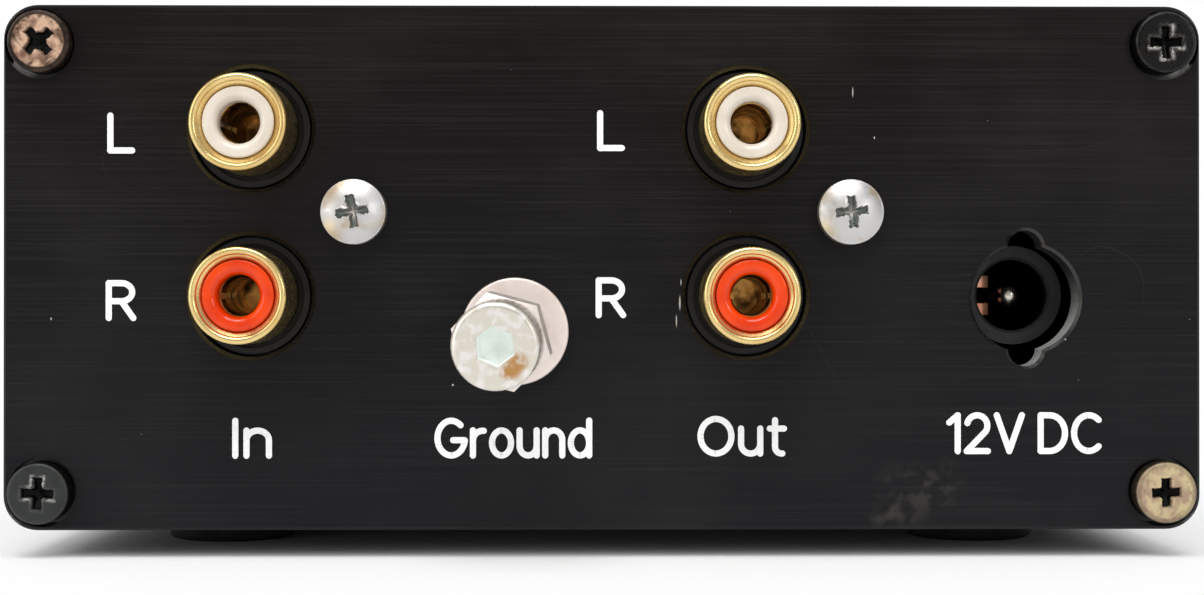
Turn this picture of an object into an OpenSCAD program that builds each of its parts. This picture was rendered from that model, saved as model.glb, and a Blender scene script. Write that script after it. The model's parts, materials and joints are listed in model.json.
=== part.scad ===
// Phono preamplifier in a small extruded aluminium case, with its connectors on the rear plate.
// X runs to the right as seen from the connectors, Y from the connectors into the case, Z up.
// The origin lies under the middle of the box that holds the whole object, on the surface
// that its feet stand on.

/* [Case] */
// Width of the case
case_w = 105; // [100:1:140]
// Height of the case, without its feet
case_h = 46; // [44:1:60]
// Length of the extruded sleeve between the two end plates
sleeve_l = 114; // [104:1:160]
// Wall of the sleeve
sleeve_wall = 2; // [1.6:0.1:3]
// Radius of the case's long edges
corner_r = 3; // [2.5:0.1:4]
// Thickness of each end plate
plate_t = 3; // [2.5:0.1:4]
// Bevel on the outer edge of each end plate
edge_bevel = 0.25; // [0.1:0.05:0.5]
// Distance from the case's sides to each corner screw
screw_inset = 3.3; // [3.3:0.1:4]

/* [Feet] */
// Height of a rubber foot
foot_h = 2.5; // [1.5:0.1:6]
// Diameter of a rubber foot
foot_d = 12; // [8:0.5:16]
// Rounding of a foot's lower rim
foot_rim = 0.6; // [0.2:0.1:1]
// Distance from the case's side to a foot's centre
foot_side_inset = 17; // [12:0.5:25]
// Distance from an end plate's outer face to a foot's centre
foot_end_inset = 18; // [12:0.5:30]

/* [Corner screws] */
// Diameter of the shank
screw_d = 3; // [2.5:0.1:3]
// Diameter of the flat head
flat_head_d = 5.4; // [5:0.1:5.5]
// Height of the flat head
flat_head_h = 2.4; // [2:0.1:3]
// How far the flat head stands out of the plate
flat_head_proud = 1.2; // [0.2:0.1:1.6]
// Diameter of the counterbore round the flat head
counterbore_d = 6.1; // [6:0.05:6.2]
// Length of the shank below the head
corner_screw_l = 9; // [6:0.5:14]
// Diameter of the plate's holes for the corner screws
corner_hole_d = 3.5; // [3.4:0.1:3.8]
// Depth of the cross recess in a screw head
cross_depth = 1.2; // [0.8:0.1:1.4]
// Span of the cross recess
cross_span = 2.8; // [2.2:0.1:3]
// Width of one arm of the cross recess
cross_arm = 0.75; // [0.5:0.05:0.9]

/* [Phono connectors] */
// Distance from the plate's left side to the input pair
rca_in_from_left = 21.6; // [20:0.1:24]
// Distance from the plate's middle to the output pair
rca_out_from_middle = 12.5; // [10:0.1:14]
// Height of the lower connector's axis above the board
rca_axis_h = 6.5; // [6.3:0.1:8]
// Distance between the two connectors of a pair
rca_pitch = 14.65; // [14:0.05:16]
// Outer diameter of the metal shell
rca_shell_d = 8.3; // [8.1:0.05:8.4]
// Bore of the metal shell
rca_shell_bore = 6.2; // [6:0.05:6.4]
// Width of the shell's rounded lip
rca_lip_w = 0.55; // [0.4:0.05:0.7]
// How far the shell stands out of the plate
rca_proud = 7; // [6:0.1:9]
// How much thinner the shell's wall is inside the plate and the housing
rca_shell_step = 0.25; // [0.2:0.05:0.5]
// How far that step stays in front of the plate
rca_step_out = 0.3; // [0.1:0.1:1]
// How much wider the insulator's guide is than the contact's bore
rca_guide_gap = 0.2; // [0.2:0.05:0.4]
// Diameter of the contact's bore, which takes a plug's pin
rca_contact_bore = 3.2; // [3.15:0.01:3.3]
// Wall of the contact's tube
rca_contact_wall = 0.4; // [0.3:0.05:0.5]
// Depth of the contact's bore
rca_contact_depth = 11.5; // [9:0.5:12]
// Width of the slit that splits the contact
rca_slit = 0.5; // [0.3:0.05:0.7]
// How far the insulator's face lies behind the shell's lip
rca_face_recess = 0.4; // [0.2:0.1:1]
// How far the contact's mouth lies behind the insulator's face
rca_contact_recess = 1.8; // [1.2:0.1:2.5]
// Diameter of the plate's hole for a connector
rca_hole_d = 10.7; // [10.6:0.1:11.4]
// Diameter of the housing's boss in that hole
rca_boss_d = 10.2; // [9.8:0.1:10.4]
// How far the boss stays below the plate's outer face
rca_boss_sunk = 0.8; // [0.3:0.1:1.5]
// Width of the housing behind the plate
rca_body_w = 12.4; // [11.5:0.1:13]
// Depth of the housing behind the plate
rca_body_d = 12; // [11:0.5:16]
// Distance from the upper connector's axis to the housing's top
rca_body_top = 6.2; // [5.8:0.1:7]
// Distance from the connectors' axes to the fixing screw
rca_screw_offset = 9.1; // [8.9:0.1:9.6]
// Diameter of the fixing screw's domed head
dome_head_d = 5.7; // [5.2:0.1:6]
// Height of the fixing screw's domed head
dome_head_h = 2.2; // [1.8:0.1:2.6]
// Radius of the dome on that head
dome_r = 5; // [4:0.1:8]
// Length of the fixing screw's shank
fixing_screw_l = 8; // [6:0.5:8.5]

/* [Power socket] */
// Distance from the plate's right side to the socket's axis
dc_from_right = 15.4; // [13:0.1:20]
// Height of the socket's axis above the board
dc_axis_h = 6.6; // [6:0.1:8]
// How far the plate's hole was drilled below the socket's axis
dc_hole_drop = 0.3; // [0:0.05:0.4]
// Diameter of the plate's hole in front of the socket
dc_hole_d = 9.5; // [9:0.1:10.5]
// Radius of the two round notches in that hole
dc_notch_r = 1.5; // [1:0.1:2]
// How far the notches reach from the hole's centre
dc_notch_reach = 5.97; // [5.5:0.05:6.5]
// How far the socket's face lies behind the plate's outer face
dc_face_depth = 5.5; // [5:0.1:7]
// Diameter of the socket's round collar
dc_collar_d = 8.9; // [8.4:0.1:9]
// Length of the collar in front of the socket's body
dc_collar_l = 3; // [2:0.1:4]
// Width of the socket's body
dc_body_w = 9; // [9:0.1:10]
// Height of the socket's body above the axis
dc_body_top = 4.5; // [4.5:0.1:6]
// Length of the socket's body behind its collar
dc_body_l = 11; // [10:0.5:14]
// Bore of the socket
dc_bore_d = 6.4; // [6.2:0.1:6.6]
// Depth of the socket's bore
dc_bore_depth = 9.5; // [8.5:0.1:10.5]
// Diameter of the centre pin
dc_pin_d = 2.1; // [2:0.1:2.5]
// How far the centre pin's tip lies behind the socket's face
dc_pin_recess = 0.8; // [0.5:0.1:2]
// Thickness of the contact leaf
leaf_t = 0.3; // [0.2:0.05:0.4]
// Height of the contact leaf
leaf_h = 3.6; // [3:0.1:3.8]
// Gap between the leaf's two tines
leaf_gap = 1.4; // [0.5:0.1:1.6]
// Radius that the leaf's bulge leaves free round the socket's axis
leaf_bite_r = 1.6; // [1.6:0.05:2.4]

/* [Ground terminal] */
// Distance from the plate's middle to the terminal, to the left
ground_left = 7.75; // [6:0.05:12]
// Distance from the plate's middle down to the terminal
ground_below = 5.6; // [4:0.1:6]
// How far the slack screw leans down in its hole, in degrees
post_lean_down = 3.5; // [0:0.1:3.6]
// How far the slack screw leans to the left in its hole, in degrees
post_lean_left = 3.8; // [0:0.1:4]
// Diameter of the terminal's screw
post_d = 4; // [3.5:0.1:4]
// Length of the terminal's screw below its head
post_l = 25; // [22:0.5:28]
// Distance from the plate's outer face to the underside of the screw's head
post_out = 12.4; // [10:0.1:14]
// Diameter of the cap head
cap_head_d = 7.2; // [6.8:0.1:7.4]
// Height of the cap head
cap_head_h = 4; // [3.5:0.1:4.5]
// Width of the hexagon socket across its flats
hex_key = 3; // [2.5:0.1:3]
// Depth of the hexagon socket
hex_key_depth = 2.2; // [1.8:0.1:2.6]
// Width of a nut across its flats
nut_af = 7.3; // [7:0.1:8]
// Thickness of a nut
nut_h = 3.2; // [2.4:0.1:3.4]
// Corner of the clamp nut against the horizontal, in degrees
nut_turn = 45; // [0:1:59]
// Outer diameter of the plain washer on the plate
washer_d = 9.4; // [8.6:0.1:10]
// Thickness of the plain washer
washer_t = 0.8; // [0.5:0.1:1]
// Outer diameter of the nut's captive toothed washer
tooth_washer_d = 7; // [6.6:0.1:8]
// Thickness of the captive toothed washer
tooth_washer_t = 0.7; // [0.5:0.1:1]
// Diameter of the plate's hole for the terminal
post_hole_d = 4.9; // [4.8:0.1:5]
// Thickness of the solder lug
lug_t = 0.5; // [0.4:0.1:0.8]
// Length of the solder lug's tail from the screw's axis
lug_l = 9; // [8:0.5:10]
// Diameter of the insulated wire from the lug to the board
wire_d = 1.6; // [1.2:0.1:2]

/* [Board] */
// Gap between the phono connectors' housings and the sleeve's roof
roof_gap = 2.65; // [1:0.05:6]
// Thickness of the board
board_t = 1.6; // [1:0.1:2]
// Gap between the board's ends and the end plates
board_end_gap = 0.7; // [0.3:0.1:2]
// Gap between the board's edges and the sleeve's side walls
board_side_gap = 0.5; // [0.3:0.1:0.8]
// Depth of the rails that carry the board's edges
rail_d = 2.5; // [2:0.1:4]
// Thickness of each rail
rail_t = 1.5; // [1:0.1:2]

/* [Front lamp] */
// Diameter of the power lamp
lamp_d = 3; // [3:0.1:4]
// Diameter of the bezel round the lamp
bezel_d = 8; // [7:0.1:10]
// How far the bezel stands out of the front plate
bezel_proud = 1; // [0.6:0.1:2]
// How far the lamp's tip stands out of the front plate
lamp_proud = 2; // [1.6:0.1:3]

/* [Hidden] */
$fn = 64;
fit_gap = 0.05;
slide_gap = 0.2;
lean_gap = 0.4;
washer_play = 0.3;
past = 1;

// How far the leaning terminal reaches, and with it the length of the whole object
head_edge = 0.4;
post_up = cos(post_lean_down) * cos(post_lean_left);
post_side = sqrt(1 - post_up * post_up);
post_reach = (post_out + cap_head_h) * post_up + (cap_head_d / 2 - head_edge) * post_side;
front_reach = max(flat_head_proud, bezel_proud, lamp_proud);
total_l = post_reach + plate_t + sleeve_l + plate_t + front_reach;
rear_y = -total_l / 2 + post_reach;
front_y = rear_y + sleeve_l + 2 * plate_t;
mid_z = foot_h + case_h / 2;

// Places that several pieces share; the board hangs below the roof by the height of a housing
housing_h = rca_axis_h + rca_pitch + rca_body_top;
board_top_h = case_h - sleeve_wall - roof_gap - housing_h;
board_z = foot_h + board_top_h;
board_y0 = rear_y + plate_t + board_end_gap;
board_y1 = front_y - plate_t - board_end_gap;
board_half_w = case_w / 2 - sleeve_wall - board_side_gap;
rca_columns = [-case_w / 2 + rca_in_from_left, rca_out_from_middle];
rca_low_z = board_z + rca_axis_h;
rca_high_z = rca_low_z + rca_pitch;
rca_mid_z = (rca_low_z + rca_high_z) / 2;
rca_back = plate_t + rca_body_d;
shell_back = rca_back - 2.5;
contact_floor = 0.8;
shell_seat_r = rca_shell_d / 2 - rca_shell_step;
contact_mouth = rca_proud - rca_face_recess - rca_contact_recess;
contact_r = rca_contact_bore / 2 + rca_contact_wall;
tail_r = 0.5;
tail_out = 1.2;
tail_root = 0.3;
leg_backs = [rca_back + 1.2, rca_back + 4];
dc_x = case_w / 2 - dc_from_right;
dc_z = board_z + dc_axis_h;
dc_back = dc_face_depth + dc_collar_l + dc_body_l;
pin_tail_r = 0.6;
pin_leg_back = dc_back + 1.5;
leaf_root = dc_back - 2.2;
leaf_x = dc_body_w / 2 - 0.55;
leaf_slot = leaf_h + 0.6;
tag_w = 1.8;
tag_back = leaf_root + leaf_t / 2 + slide_gap;
ground_z = mid_z - ground_below;
corners = [for (sx = [-1, 1], sz = [-1, 1]) [sx, sz]];
channel_r = 3;
channel_slot = 1.4;

// Places of the parts on the board: x from its middle, back from the rear plate's outer face,
// or ahead from the front plate's inner face for the power supply
amp_x = 17;
amp_back = 52;
filter_backs = [38, 66, 75];
coupling_at = [35, 46];
local_can_at = [27, 60];
resistor_rows = [[11, 28], [34, 64]];
resistor_pitch = 4;
diode_back = 30;
supply_x = 36;
tall_can_aheads = [13, 29];
low_can_at = [5, 29];
choke_ahead = 11;
converter_ahead = 29;
regulator_at = [2, 13];

// Pitch of the legs of packages on the board, and the distance between a package's two rows
leg_pitch = 2.54;
leg_spread = 7.62;

white = [0.9, 0.88, 0.84];
red = [0.86, 0.2, 0.12];
steel = [0.8, 0.8, 0.79];
black = [0.07, 0.07, 0.075];

// How far each counterbore in the rear plate was drilled off its screw, by corner
drill_drift = [[0.12, 0.05], [-0.15, -0.12], [-0.05, 0.02], [0.14, -0.14]];

// ---- Places -------------------------------------------------------------------------------

// A piece on the rear plate: x to the right, y up, z out of the plate from its outer face
module on_rear(x, z) {
    translate([x, rear_y, z]) rotate([90, 0, 0]) children();
}

// A piece on the front plate: y up, z out of the plate from its outer face
module on_front(x, z) {
    translate([x, front_y, z]) rotate([90, 0, 180]) children();
}

// A piece on the leaning ground screw: z along the screw, from the plate's outer face
module on_post() {
    on_rear(-ground_left, ground_z) rotate([post_lean_down, -post_lean_left, 0]) children();
}

// A piece that stands on the board, back from the rear plate's outer face
module on_board(x, back) {
    translate([x, rear_y + back, board_z]) children();
}

// A piece of the power supply on the board, ahead of the front plate's inner face
module on_supply(x, ahead) {
    translate([x, front_y - plate_t - ahead, board_z]) children();
}

function corner_at(c) = [c[0] * (case_w / 2 - screw_inset), c[1] * (case_h / 2 - screw_inset)];

// ---- Shapes used more than once -------------------------------------------------------------

// Rectangle with round corners, as true arcs
module rounded_rect(w, h, r) {
    square([w - 2 * r, h], center = true);
    square([w, h - 2 * r], center = true);
    for (c = corners) translate([c[0] * (w / 2 - r), c[1] * (h / 2 - r)]) circle(r);
}

// Ring or sleeve round the z axis
module ring(outer_r, inner_r, h) {
    difference() {
        cylinder(r = outer_r, h = h);
        translate([0, 0, -past]) cylinder(r = inner_r, h = h + 2 * past);
    }
}

// Hole through a plate that fills z from -depth to 0, with a bevelled mouth
module bevelled_hole(r, depth, bevel) {
    translate([0, 0, -depth - past]) cylinder(r = r, h = depth + 2 * past);
    translate([0, 0, -bevel]) cylinder(r1 = r, r2 = r + bevel + past, h = bevel + past);
}

// Disc whose upper rim is rounded
module soft_disc(r, h, rim) {
    cylinder(r = r, h = h - rim);
    cylinder(r = r - rim, h = h);
    translate([0, 0, h - rim]) rotate_extrude() translate([r - rim, 0]) circle(rim);
}

// Cross recess, cut down from z = 0
module cross_recess() {
    for (turn = [0, 90]) rotate(turn)
        translate([-cross_span / 2, -cross_arm / 2, -cross_depth])
            cube([cross_span, cross_arm, cross_depth + past]);
}

// Screw with a flat round head; the head's underside is at z = 0
module flat_screw(turn) {
    rim = 0.35;
    difference() {
        soft_disc(flat_head_d / 2, flat_head_h, rim);
        translate([0, 0, flat_head_h]) rotate(turn) cross_recess();
    }
    translate([0, 0, -corner_screw_l]) cylinder(d = screw_d, h = corner_screw_l);
}

// Screw with a domed head; the head's underside is at z = 0
module domed_screw(turn) {
    difference() {
        intersection() {
            cylinder(d = dome_head_d, h = dome_head_h + past);
            translate([0, 0, dome_head_h - dome_r]) sphere(dome_r);
        }
        translate([0, 0, dome_head_h]) rotate(turn) cross_recess();
    }
    translate([0, 0, -fixing_screw_l]) cylinder(d = screw_d, h = fixing_screw_l);
}

// Hexagon nut from z = 0 to h, with both faces' corners turned off
module hex_nut(h) {
    corner_r = nut_af / 2 / cos(30);
    round_r = corner_r + 0.1;
    trim = 0.45;
    difference() {
        intersection() {
            cylinder(r = corner_r, h = h, $fn = 6);
            union() {
                cylinder(r1 = nut_af / 2, r2 = round_r, h = trim);
                translate([0, 0, trim]) cylinder(r = round_r, h = h - 2 * trim);
                translate([0, 0, h - trim]) cylinder(r1 = round_r, r2 = nut_af / 2, h = trim);
            }
        }
        translate([0, 0, -past]) cylinder(r = post_d / 2 + fit_gap, h = h + 2 * past);
    }
}

// Flat strip of even thickness along points, with round joints
module strip_2d(points, t) {
    for (i = [0 : len(points) - 2]) {
        run = points[i + 1] - points[i];
        translate(points[i]) rotate(atan2(run[1], run[0]))
            translate([0, -t / 2]) square([norm(run), t]);
    }
    for (p = points) translate(p) circle(d = t);
}

// Tail behind a connector: back along the axis, then down through the board
module solder_tail(x, z, from_back, leg_back, r) {
    on_rear(x, z) translate([0, 0, -leg_back]) cylinder(r = r, h = leg_back - from_back);
    translate([x, rear_y + leg_back, z]) sphere(r);
    translate([x, rear_y + leg_back, board_z - board_t - tail_out])
        cylinder(r = r, h = z - board_z + board_t + tail_out);
}

// ---- Case ---------------------------------------------------------------------------------

// Cross-section of the extruded sleeve: wall, board rails and four open screw channels
module sleeve_section() {
    rail_z = board_top_h - case_h / 2;
    difference() {
        rounded_rect(case_w, case_h, corner_r);
        difference() {
            square([case_w - 2 * sleeve_wall, case_h - 2 * sleeve_wall], center = true);
            for (c = corners) translate(corner_at(c)) circle(channel_r);
            for (side = [-1, 1], z = [rail_z + slide_gap, rail_z - board_t - slide_gap - rail_t])
                translate([side * (case_w / 2 - sleeve_wall - rail_d / 2), z + rail_t / 2])
                    square([rail_d, rail_t], center = true);
        }
        for (c = corners) translate(corner_at(c)) {
            circle(r = screw_d / 2 + fit_gap);
            rotate(atan2(-c[1], -c[0])) translate([0, -channel_slot / 2])
                square([channel_r + past, channel_slot]);
        }
    }
}

module sleeve() {
    color(black)
        translate([0, rear_y + plate_t + sleeve_l, mid_z]) rotate([90, 0, 0])
            linear_extrude(sleeve_l) sleeve_section();
}

// Plate from z = -plate_t to 0 with a bevel round its outer face
module plate_blank() {
    b = edge_bevel;
    translate([0, 0, -plate_t]) {
        rotate([90, 0, 90]) linear_extrude(case_w - 2 * corner_r, center = true)
            bevelled_section(case_h);
        rotate([90, 0, 0]) linear_extrude(case_h - 2 * corner_r, center = true)
            bevelled_section(case_w);
        for (c = corners)
            translate([c[0] * (case_w / 2 - corner_r), c[1] * (case_h / 2 - corner_r), 0]) {
                cylinder(r = corner_r, h = plate_t - b);
                translate([0, 0, plate_t - b]) cylinder(r1 = corner_r, r2 = corner_r - b, h = b);
            }
    }
}

// Section of a plate's straight stretch: a bar with its two outer edges bevelled
module bevelled_section(across) {
    b = edge_bevel;
    polygon([[-across / 2, 0], [across / 2, 0], [across / 2, plate_t - b],
        [across / 2 - b, plate_t], [-across / 2 + b, plate_t], [-across / 2, plate_t - b]]);
}

// Counterbored holes for the four corner screws, each off its screw by its drift
module corner_holes(drift) {
    for (i = [0 : 3])
        translate(corner_at(corners[i]) + drift[i]) {
            translate([0, 0, -plate_t - past]) cylinder(d = corner_hole_d, h = plate_t + 2 * past);
            translate([0, 0, flat_head_proud - flat_head_h]) cylinder(d = counterbore_d, h = plate_t);
        }
}

module rear_plate() {
    rca_bevel = 0.35;
    dc_bevel = 0.3;
    screw_bevel = 0.1;
    notch_at = dc_notch_reach - dc_notch_r;
    color(black) difference() {
        on_rear(0, mid_z) difference() {
            plate_blank();
            corner_holes(drill_drift);
        }
        for (x = rca_columns) {
            for (z = [rca_low_z, rca_high_z])
                on_rear(x, z) bevelled_hole(rca_hole_d / 2, plate_t, rca_bevel);
            on_rear(x + rca_screw_offset, rca_mid_z)
                bevelled_hole(screw_d / 2 + slide_gap, plate_t, screw_bevel);
        }
        on_rear(dc_x, dc_z - dc_hole_drop) {
            bevelled_hole(dc_hole_d / 2, plate_t, dc_bevel);
            for (side = [-1, 1]) translate([0, side * notch_at, 0])
                bevelled_hole(dc_notch_r, plate_t, dc_bevel);
        }
        on_rear(-ground_left, ground_z) bevelled_hole(post_hole_d / 2, plate_t, screw_bevel);
    }
}

module front_plate() {
    square_on = [for (i = [0 : 3]) [0, 0]];
    color(black) on_front(0, mid_z) difference() {
        plate_blank();
        corner_holes(square_on);
        bevelled_hole(bezel_neck_r() + fit_gap, plate_t, 0.1);
    }
}

// Two corner screws of the rear plate; i counts them as corners does
module rear_screw(i, turn) {
    at = corner_at(corners[i]);
    on_rear(at[0], mid_z + at[1])
        translate([0, 0, flat_head_proud - flat_head_h]) flat_screw(turn);
}

module rear_screws_worn() {
    color([0.66, 0.54, 0.44]) {
        rear_screw(1, 45);
        rear_screw(2, 0);
    }
}

module rear_screws_black() {
    color([0.1, 0.1, 0.1]) {
        rear_screw(0, -4);
        rear_screw(3, 0);
    }
}

module front_plate_screws() {
    color([0.1, 0.1, 0.1]) for (i = [0 : 3]) {
        at = corner_at(corners[i]);
        on_front(at[0], mid_z + at[1])
            translate([0, 0, flat_head_proud - flat_head_h]) flat_screw(20 + 31 * i);
    }
}

module rubber_feet() {
    color([0.05, 0.05, 0.05])
        for (side = [-1, 1], y = [rear_y + foot_end_inset, front_y - foot_end_inset])
            translate([side * (case_w / 2 - foot_side_inset), y, foot_h]) mirror([0, 0, 1])
                soft_disc(foot_d / 2, foot_h, foot_rim);
}

// ---- Phono connectors -----------------------------------------------------------------------

// Moulded housing of one pair, seated on the board and against the plate, with a screw ear
module rca_housing(x) {
    top = rca_pitch / 2 + rca_body_top;
    bottom = rca_pitch / 2 + rca_axis_h;
    edge_r = 1;
    ear_r = 3.2;
    ear_d = 7;
    inner_step_r = rca_shell_d / 2 + 0.45;
    inner_step = 1.2;
    color([0.05, 0.05, 0.055]) on_rear(x, rca_mid_z) difference() {
        union() {
            translate([0, (top - bottom) / 2, -rca_back])
                linear_extrude(rca_body_d) rounded_rect(rca_body_w, top + bottom, edge_r);
            translate([0, 0, -plate_t - ear_d]) linear_extrude(ear_d) {
                translate([rca_screw_offset, 0]) circle(ear_r);
                translate([0, -ear_r]) square([rca_screw_offset, 2 * ear_r]);
            }
            for (side = [-1, 1]) translate([0, side * rca_pitch / 2, -plate_t - past])
                cylinder(d = rca_boss_d, h = plate_t + past - rca_boss_sunk);
        }
        for (side = [-1, 1]) translate([0, side * rca_pitch / 2, 0]) {
            translate([0, 0, -shell_back - fit_gap])
                cylinder(r = shell_seat_r + fit_gap, h = shell_back + past);
            translate([0, 0, -rca_boss_sunk - inner_step]) cylinder(r = inner_step_r, h = plate_t);
            translate([0, 0, -rca_back - past]) cylinder(r = tail_r + slide_gap, h = rca_body_d);
            translate([-shell_tail_x(), 0, -rca_back - past])
                cylinder(r = tail_r + slide_gap, h = rca_body_d);
        }
        translate([rca_screw_offset, 0, -plate_t - ear_d - past])
            cylinder(r = screw_d / 2 + fit_gap, h = ear_d + 2 * past);
    }
}

// How far the shell's own tail lies beside the axis: in the middle of the wall that it leaves
function shell_tail_x() = (shell_seat_r + rca_shell_bore / 2) / 2;

// Metal shell with a rounded lip, an inner slope down to its bore, a step where it enters
// the plate, and a solder tail
module rca_shell(x, z, leg_back) {
    r = rca_shell_d / 2;
    slope = 0.7;
    color([0.83, 0.66, 0.33]) {
        on_rear(x, z) difference() {
            union() {
                translate([0, 0, rca_step_out])
                    cylinder(r = r, h = rca_proud - rca_lip_w / 2 - rca_step_out);
                translate([0, 0, -shell_back]) cylinder(r = shell_seat_r, h = shell_back + past);
                translate([0, 0, rca_proud - rca_lip_w / 2]) rotate_extrude()
                    translate([r - rca_lip_w / 2, 0]) circle(d = rca_lip_w);
            }
            translate([0, 0, -shell_back - past])
                cylinder(d = rca_shell_bore, h = shell_back + rca_proud + 2 * past);
            translate([0, 0, rca_proud - rca_lip_w / 2 - slope])
                cylinder(r1 = rca_shell_bore / 2, r2 = r - rca_lip_w, h = slope);
            translate([0, 0, rca_proud - rca_lip_w / 2]) cylinder(r = r - rca_lip_w, h = past);
        }
        solder_tail(x - shell_tail_x(), z, shell_back - tail_root, leg_back, tail_r);
    }
}

// Insulator that fills the shell's bore, with a rounded mouth and a seat for the contact
module rca_insulator(x, z, tint) {
    face = rca_proud - rca_face_recess;
    guide_r = rca_contact_bore / 2 + rca_guide_gap;
    mouth = 0.5;
    color(tint) on_rear(x, z) difference() {
        translate([0, 0, -shell_back]) cylinder(r = rca_shell_bore / 2 - fit_gap, h = shell_back + face);
        translate([0, 0, -shell_back - past])
            cylinder(r = contact_r + fit_gap, h = shell_back + past + contact_mouth + fit_gap);
        cylinder(r = guide_r, h = face + past);
        translate([0, 0, face - mouth]) difference() {
            cylinder(r = guide_r + mouth, h = mouth + past);
            rotate_extrude() translate([guide_r + mouth, 0]) circle(mouth);
        }
    }
}

// Split tube that takes a plug's pin, closed at the back, with a solder tail
module rca_contact(x, z, leg_back) {
    slit_l = 7;
    back = rca_contact_depth - contact_mouth + contact_floor;
    color([0.78, 0.6, 0.28]) {
        on_rear(x, z) difference() {
            translate([0, 0, -back]) cylinder(r = contact_r, h = back + contact_mouth);
            translate([0, 0, contact_mouth - rca_contact_depth])
                cylinder(d = rca_contact_bore, h = rca_contact_depth + past);
            translate([-contact_r - past, -rca_slit / 2, contact_mouth - slit_l])
                cube([2 * (contact_r + past), rca_slit, slit_l + past]);
        }
        solder_tail(x, z, back - tail_root, leg_back, tail_r);
    }
}

module rca_fixing_screws() {
    turns = [8, 5];
    color([0.82, 0.83, 0.84]) for (i = [0, 1])
        on_rear(rca_columns[i] + rca_screw_offset, rca_mid_z) domed_screw(turns[i]);
}

// ---- Power socket ---------------------------------------------------------------------------

// Moulded socket: round collar and square body on the board, with a side slot for the leaf
module dc_jack_housing() {
    body_h = dc_axis_h + dc_body_top;
    edge_r = 0.4;
    mouth_bevel = 0.25;
    slot_front = dc_face_depth + 1.1;
    slot_reach = dc_body_w / 2 + past - dc_bore_d / 2 + 1;
    color([0.16, 0.16, 0.165]) on_rear(dc_x, dc_z) difference() {
        union() {
            translate([0, 0, -dc_face_depth - dc_collar_l - past])
                cylinder(d = dc_collar_d, h = dc_collar_l + past);
            translate([0, (dc_body_top - dc_axis_h) / 2, -dc_back])
                linear_extrude(dc_body_l) rounded_rect(dc_body_w, body_h, edge_r);
        }
        translate([0, 0, -dc_face_depth - dc_bore_depth])
            blind_bore(dc_bore_d / 2, dc_bore_depth, mouth_bevel);
        translate([0, 0, -dc_back - past]) cylinder(r = dc_pin_d / 2 + fit_gap, h = dc_body_l);
        translate([-dc_body_w / 2 - past, -leaf_slot / 2, -dc_back - past])
            cube([slot_reach, leaf_slot, dc_back + past - slot_front]);
        translate([-leaf_x - leaf_t / 2 - slide_gap, -dc_axis_h - past, -dc_back - past])
            cube([leaf_t + 2 * slide_gap, dc_axis_h + past, dc_back + past - leaf_root]);
    }
}

// Blind bore from z = 0 to depth with a bevelled mouth at its top
module blind_bore(r, depth, bevel) {
    cylinder(r = r, h = depth + past);
    translate([0, 0, depth - bevel]) cylinder(r1 = r, r2 = r + bevel + past, h = bevel + past);
}

module dc_centre_pin() {
    r = dc_pin_d / 2;
    tip = dc_face_depth + dc_pin_recess;
    end = dc_back + 0.8;
    color([0.86, 0.84, 0.8]) {
        on_rear(dc_x, dc_z) {
            translate([0, 0, -tip - r]) sphere(r);
            translate([0, 0, -end]) cylinder(r = r, h = end - tip - r);
        }
        solder_tail(dc_x, dc_z, end - tail_root, pin_leg_back, pin_tail_r);
    }
}

// Sprung leaf with two tines that bulge into the socket's bore; it flexes about its root
module dc_leaf_contact() {
    straight_l = 4.6;
    fork_l = 4;
    bulge_x = leaf_bite_r + leaf_t / 2;
    bulge_back = dc_face_depth + 2.9;
    shoulder = [0.12, 0.5];
    flare = [1.35, 1.45];
    path = [[-leaf_x, -leaf_root], [-leaf_x, straight_l - leaf_root],
        [-bulge_x - shoulder[0], -bulge_back - shoulder[1]], [-bulge_x, -bulge_back],
        [-bulge_x - shoulder[0], -bulge_back + shoulder[1]],
        [-bulge_x - flare[0], -bulge_back + flare[1]]];
    color([0.8, 0.45, 0.3]) on_rear(dc_x, dc_z) difference() {
        rotate([90, 0, 0]) linear_extrude(leaf_h, center = true) strip_2d(path, leaf_t);
        translate([-dc_body_w, -leaf_gap / 2, fork_l - leaf_root])
            cube([2 * dc_body_w, leaf_gap, leaf_root]);
    }
}

// Fixed tag behind the leaf's root, down through the board
module dc_leaf_tag() {
    foot = board_z - board_t - tail_out;
    color([0.8, 0.45, 0.3])
        translate([dc_x - leaf_x - leaf_t / 2, rear_y + tag_back, foot])
            cube([leaf_t, tag_w, dc_z + leaf_h / 2 - foot]);
}

// ---- Ground terminal ------------------------------------------------------------------------

// Cap screw through the plate, slack in its hole and so leaning
module ground_screw() {
    r = cap_head_d / 2;
    color(steel) on_post() {
        translate([0, 0, post_out]) difference() {
            union() {
                cylinder(r = r, h = cap_head_h - head_edge);
                translate([0, 0, cap_head_h - head_edge])
                    cylinder(r1 = r, r2 = r - head_edge, h = head_edge);
            }
            translate([0, 0, cap_head_h - hex_key_depth])
                cylinder(d = hex_key / cos(30), h = hex_key_depth + past, $fn = 6);
        }
        translate([0, 0, post_out - post_l]) cylinder(d = post_d, h = post_l);
    }
}

module ground_washer() {
    color([0.83, 0.79, 0.77]) on_rear(-ground_left, ground_z)
        ring(washer_d / 2, post_d / 2 + washer_play, washer_t);
}

// Height of the clamp nut's foot above the plate, against the head with a small gap
function clamp_nut_foot() = post_out - fit_gap - nut_h;

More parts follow.
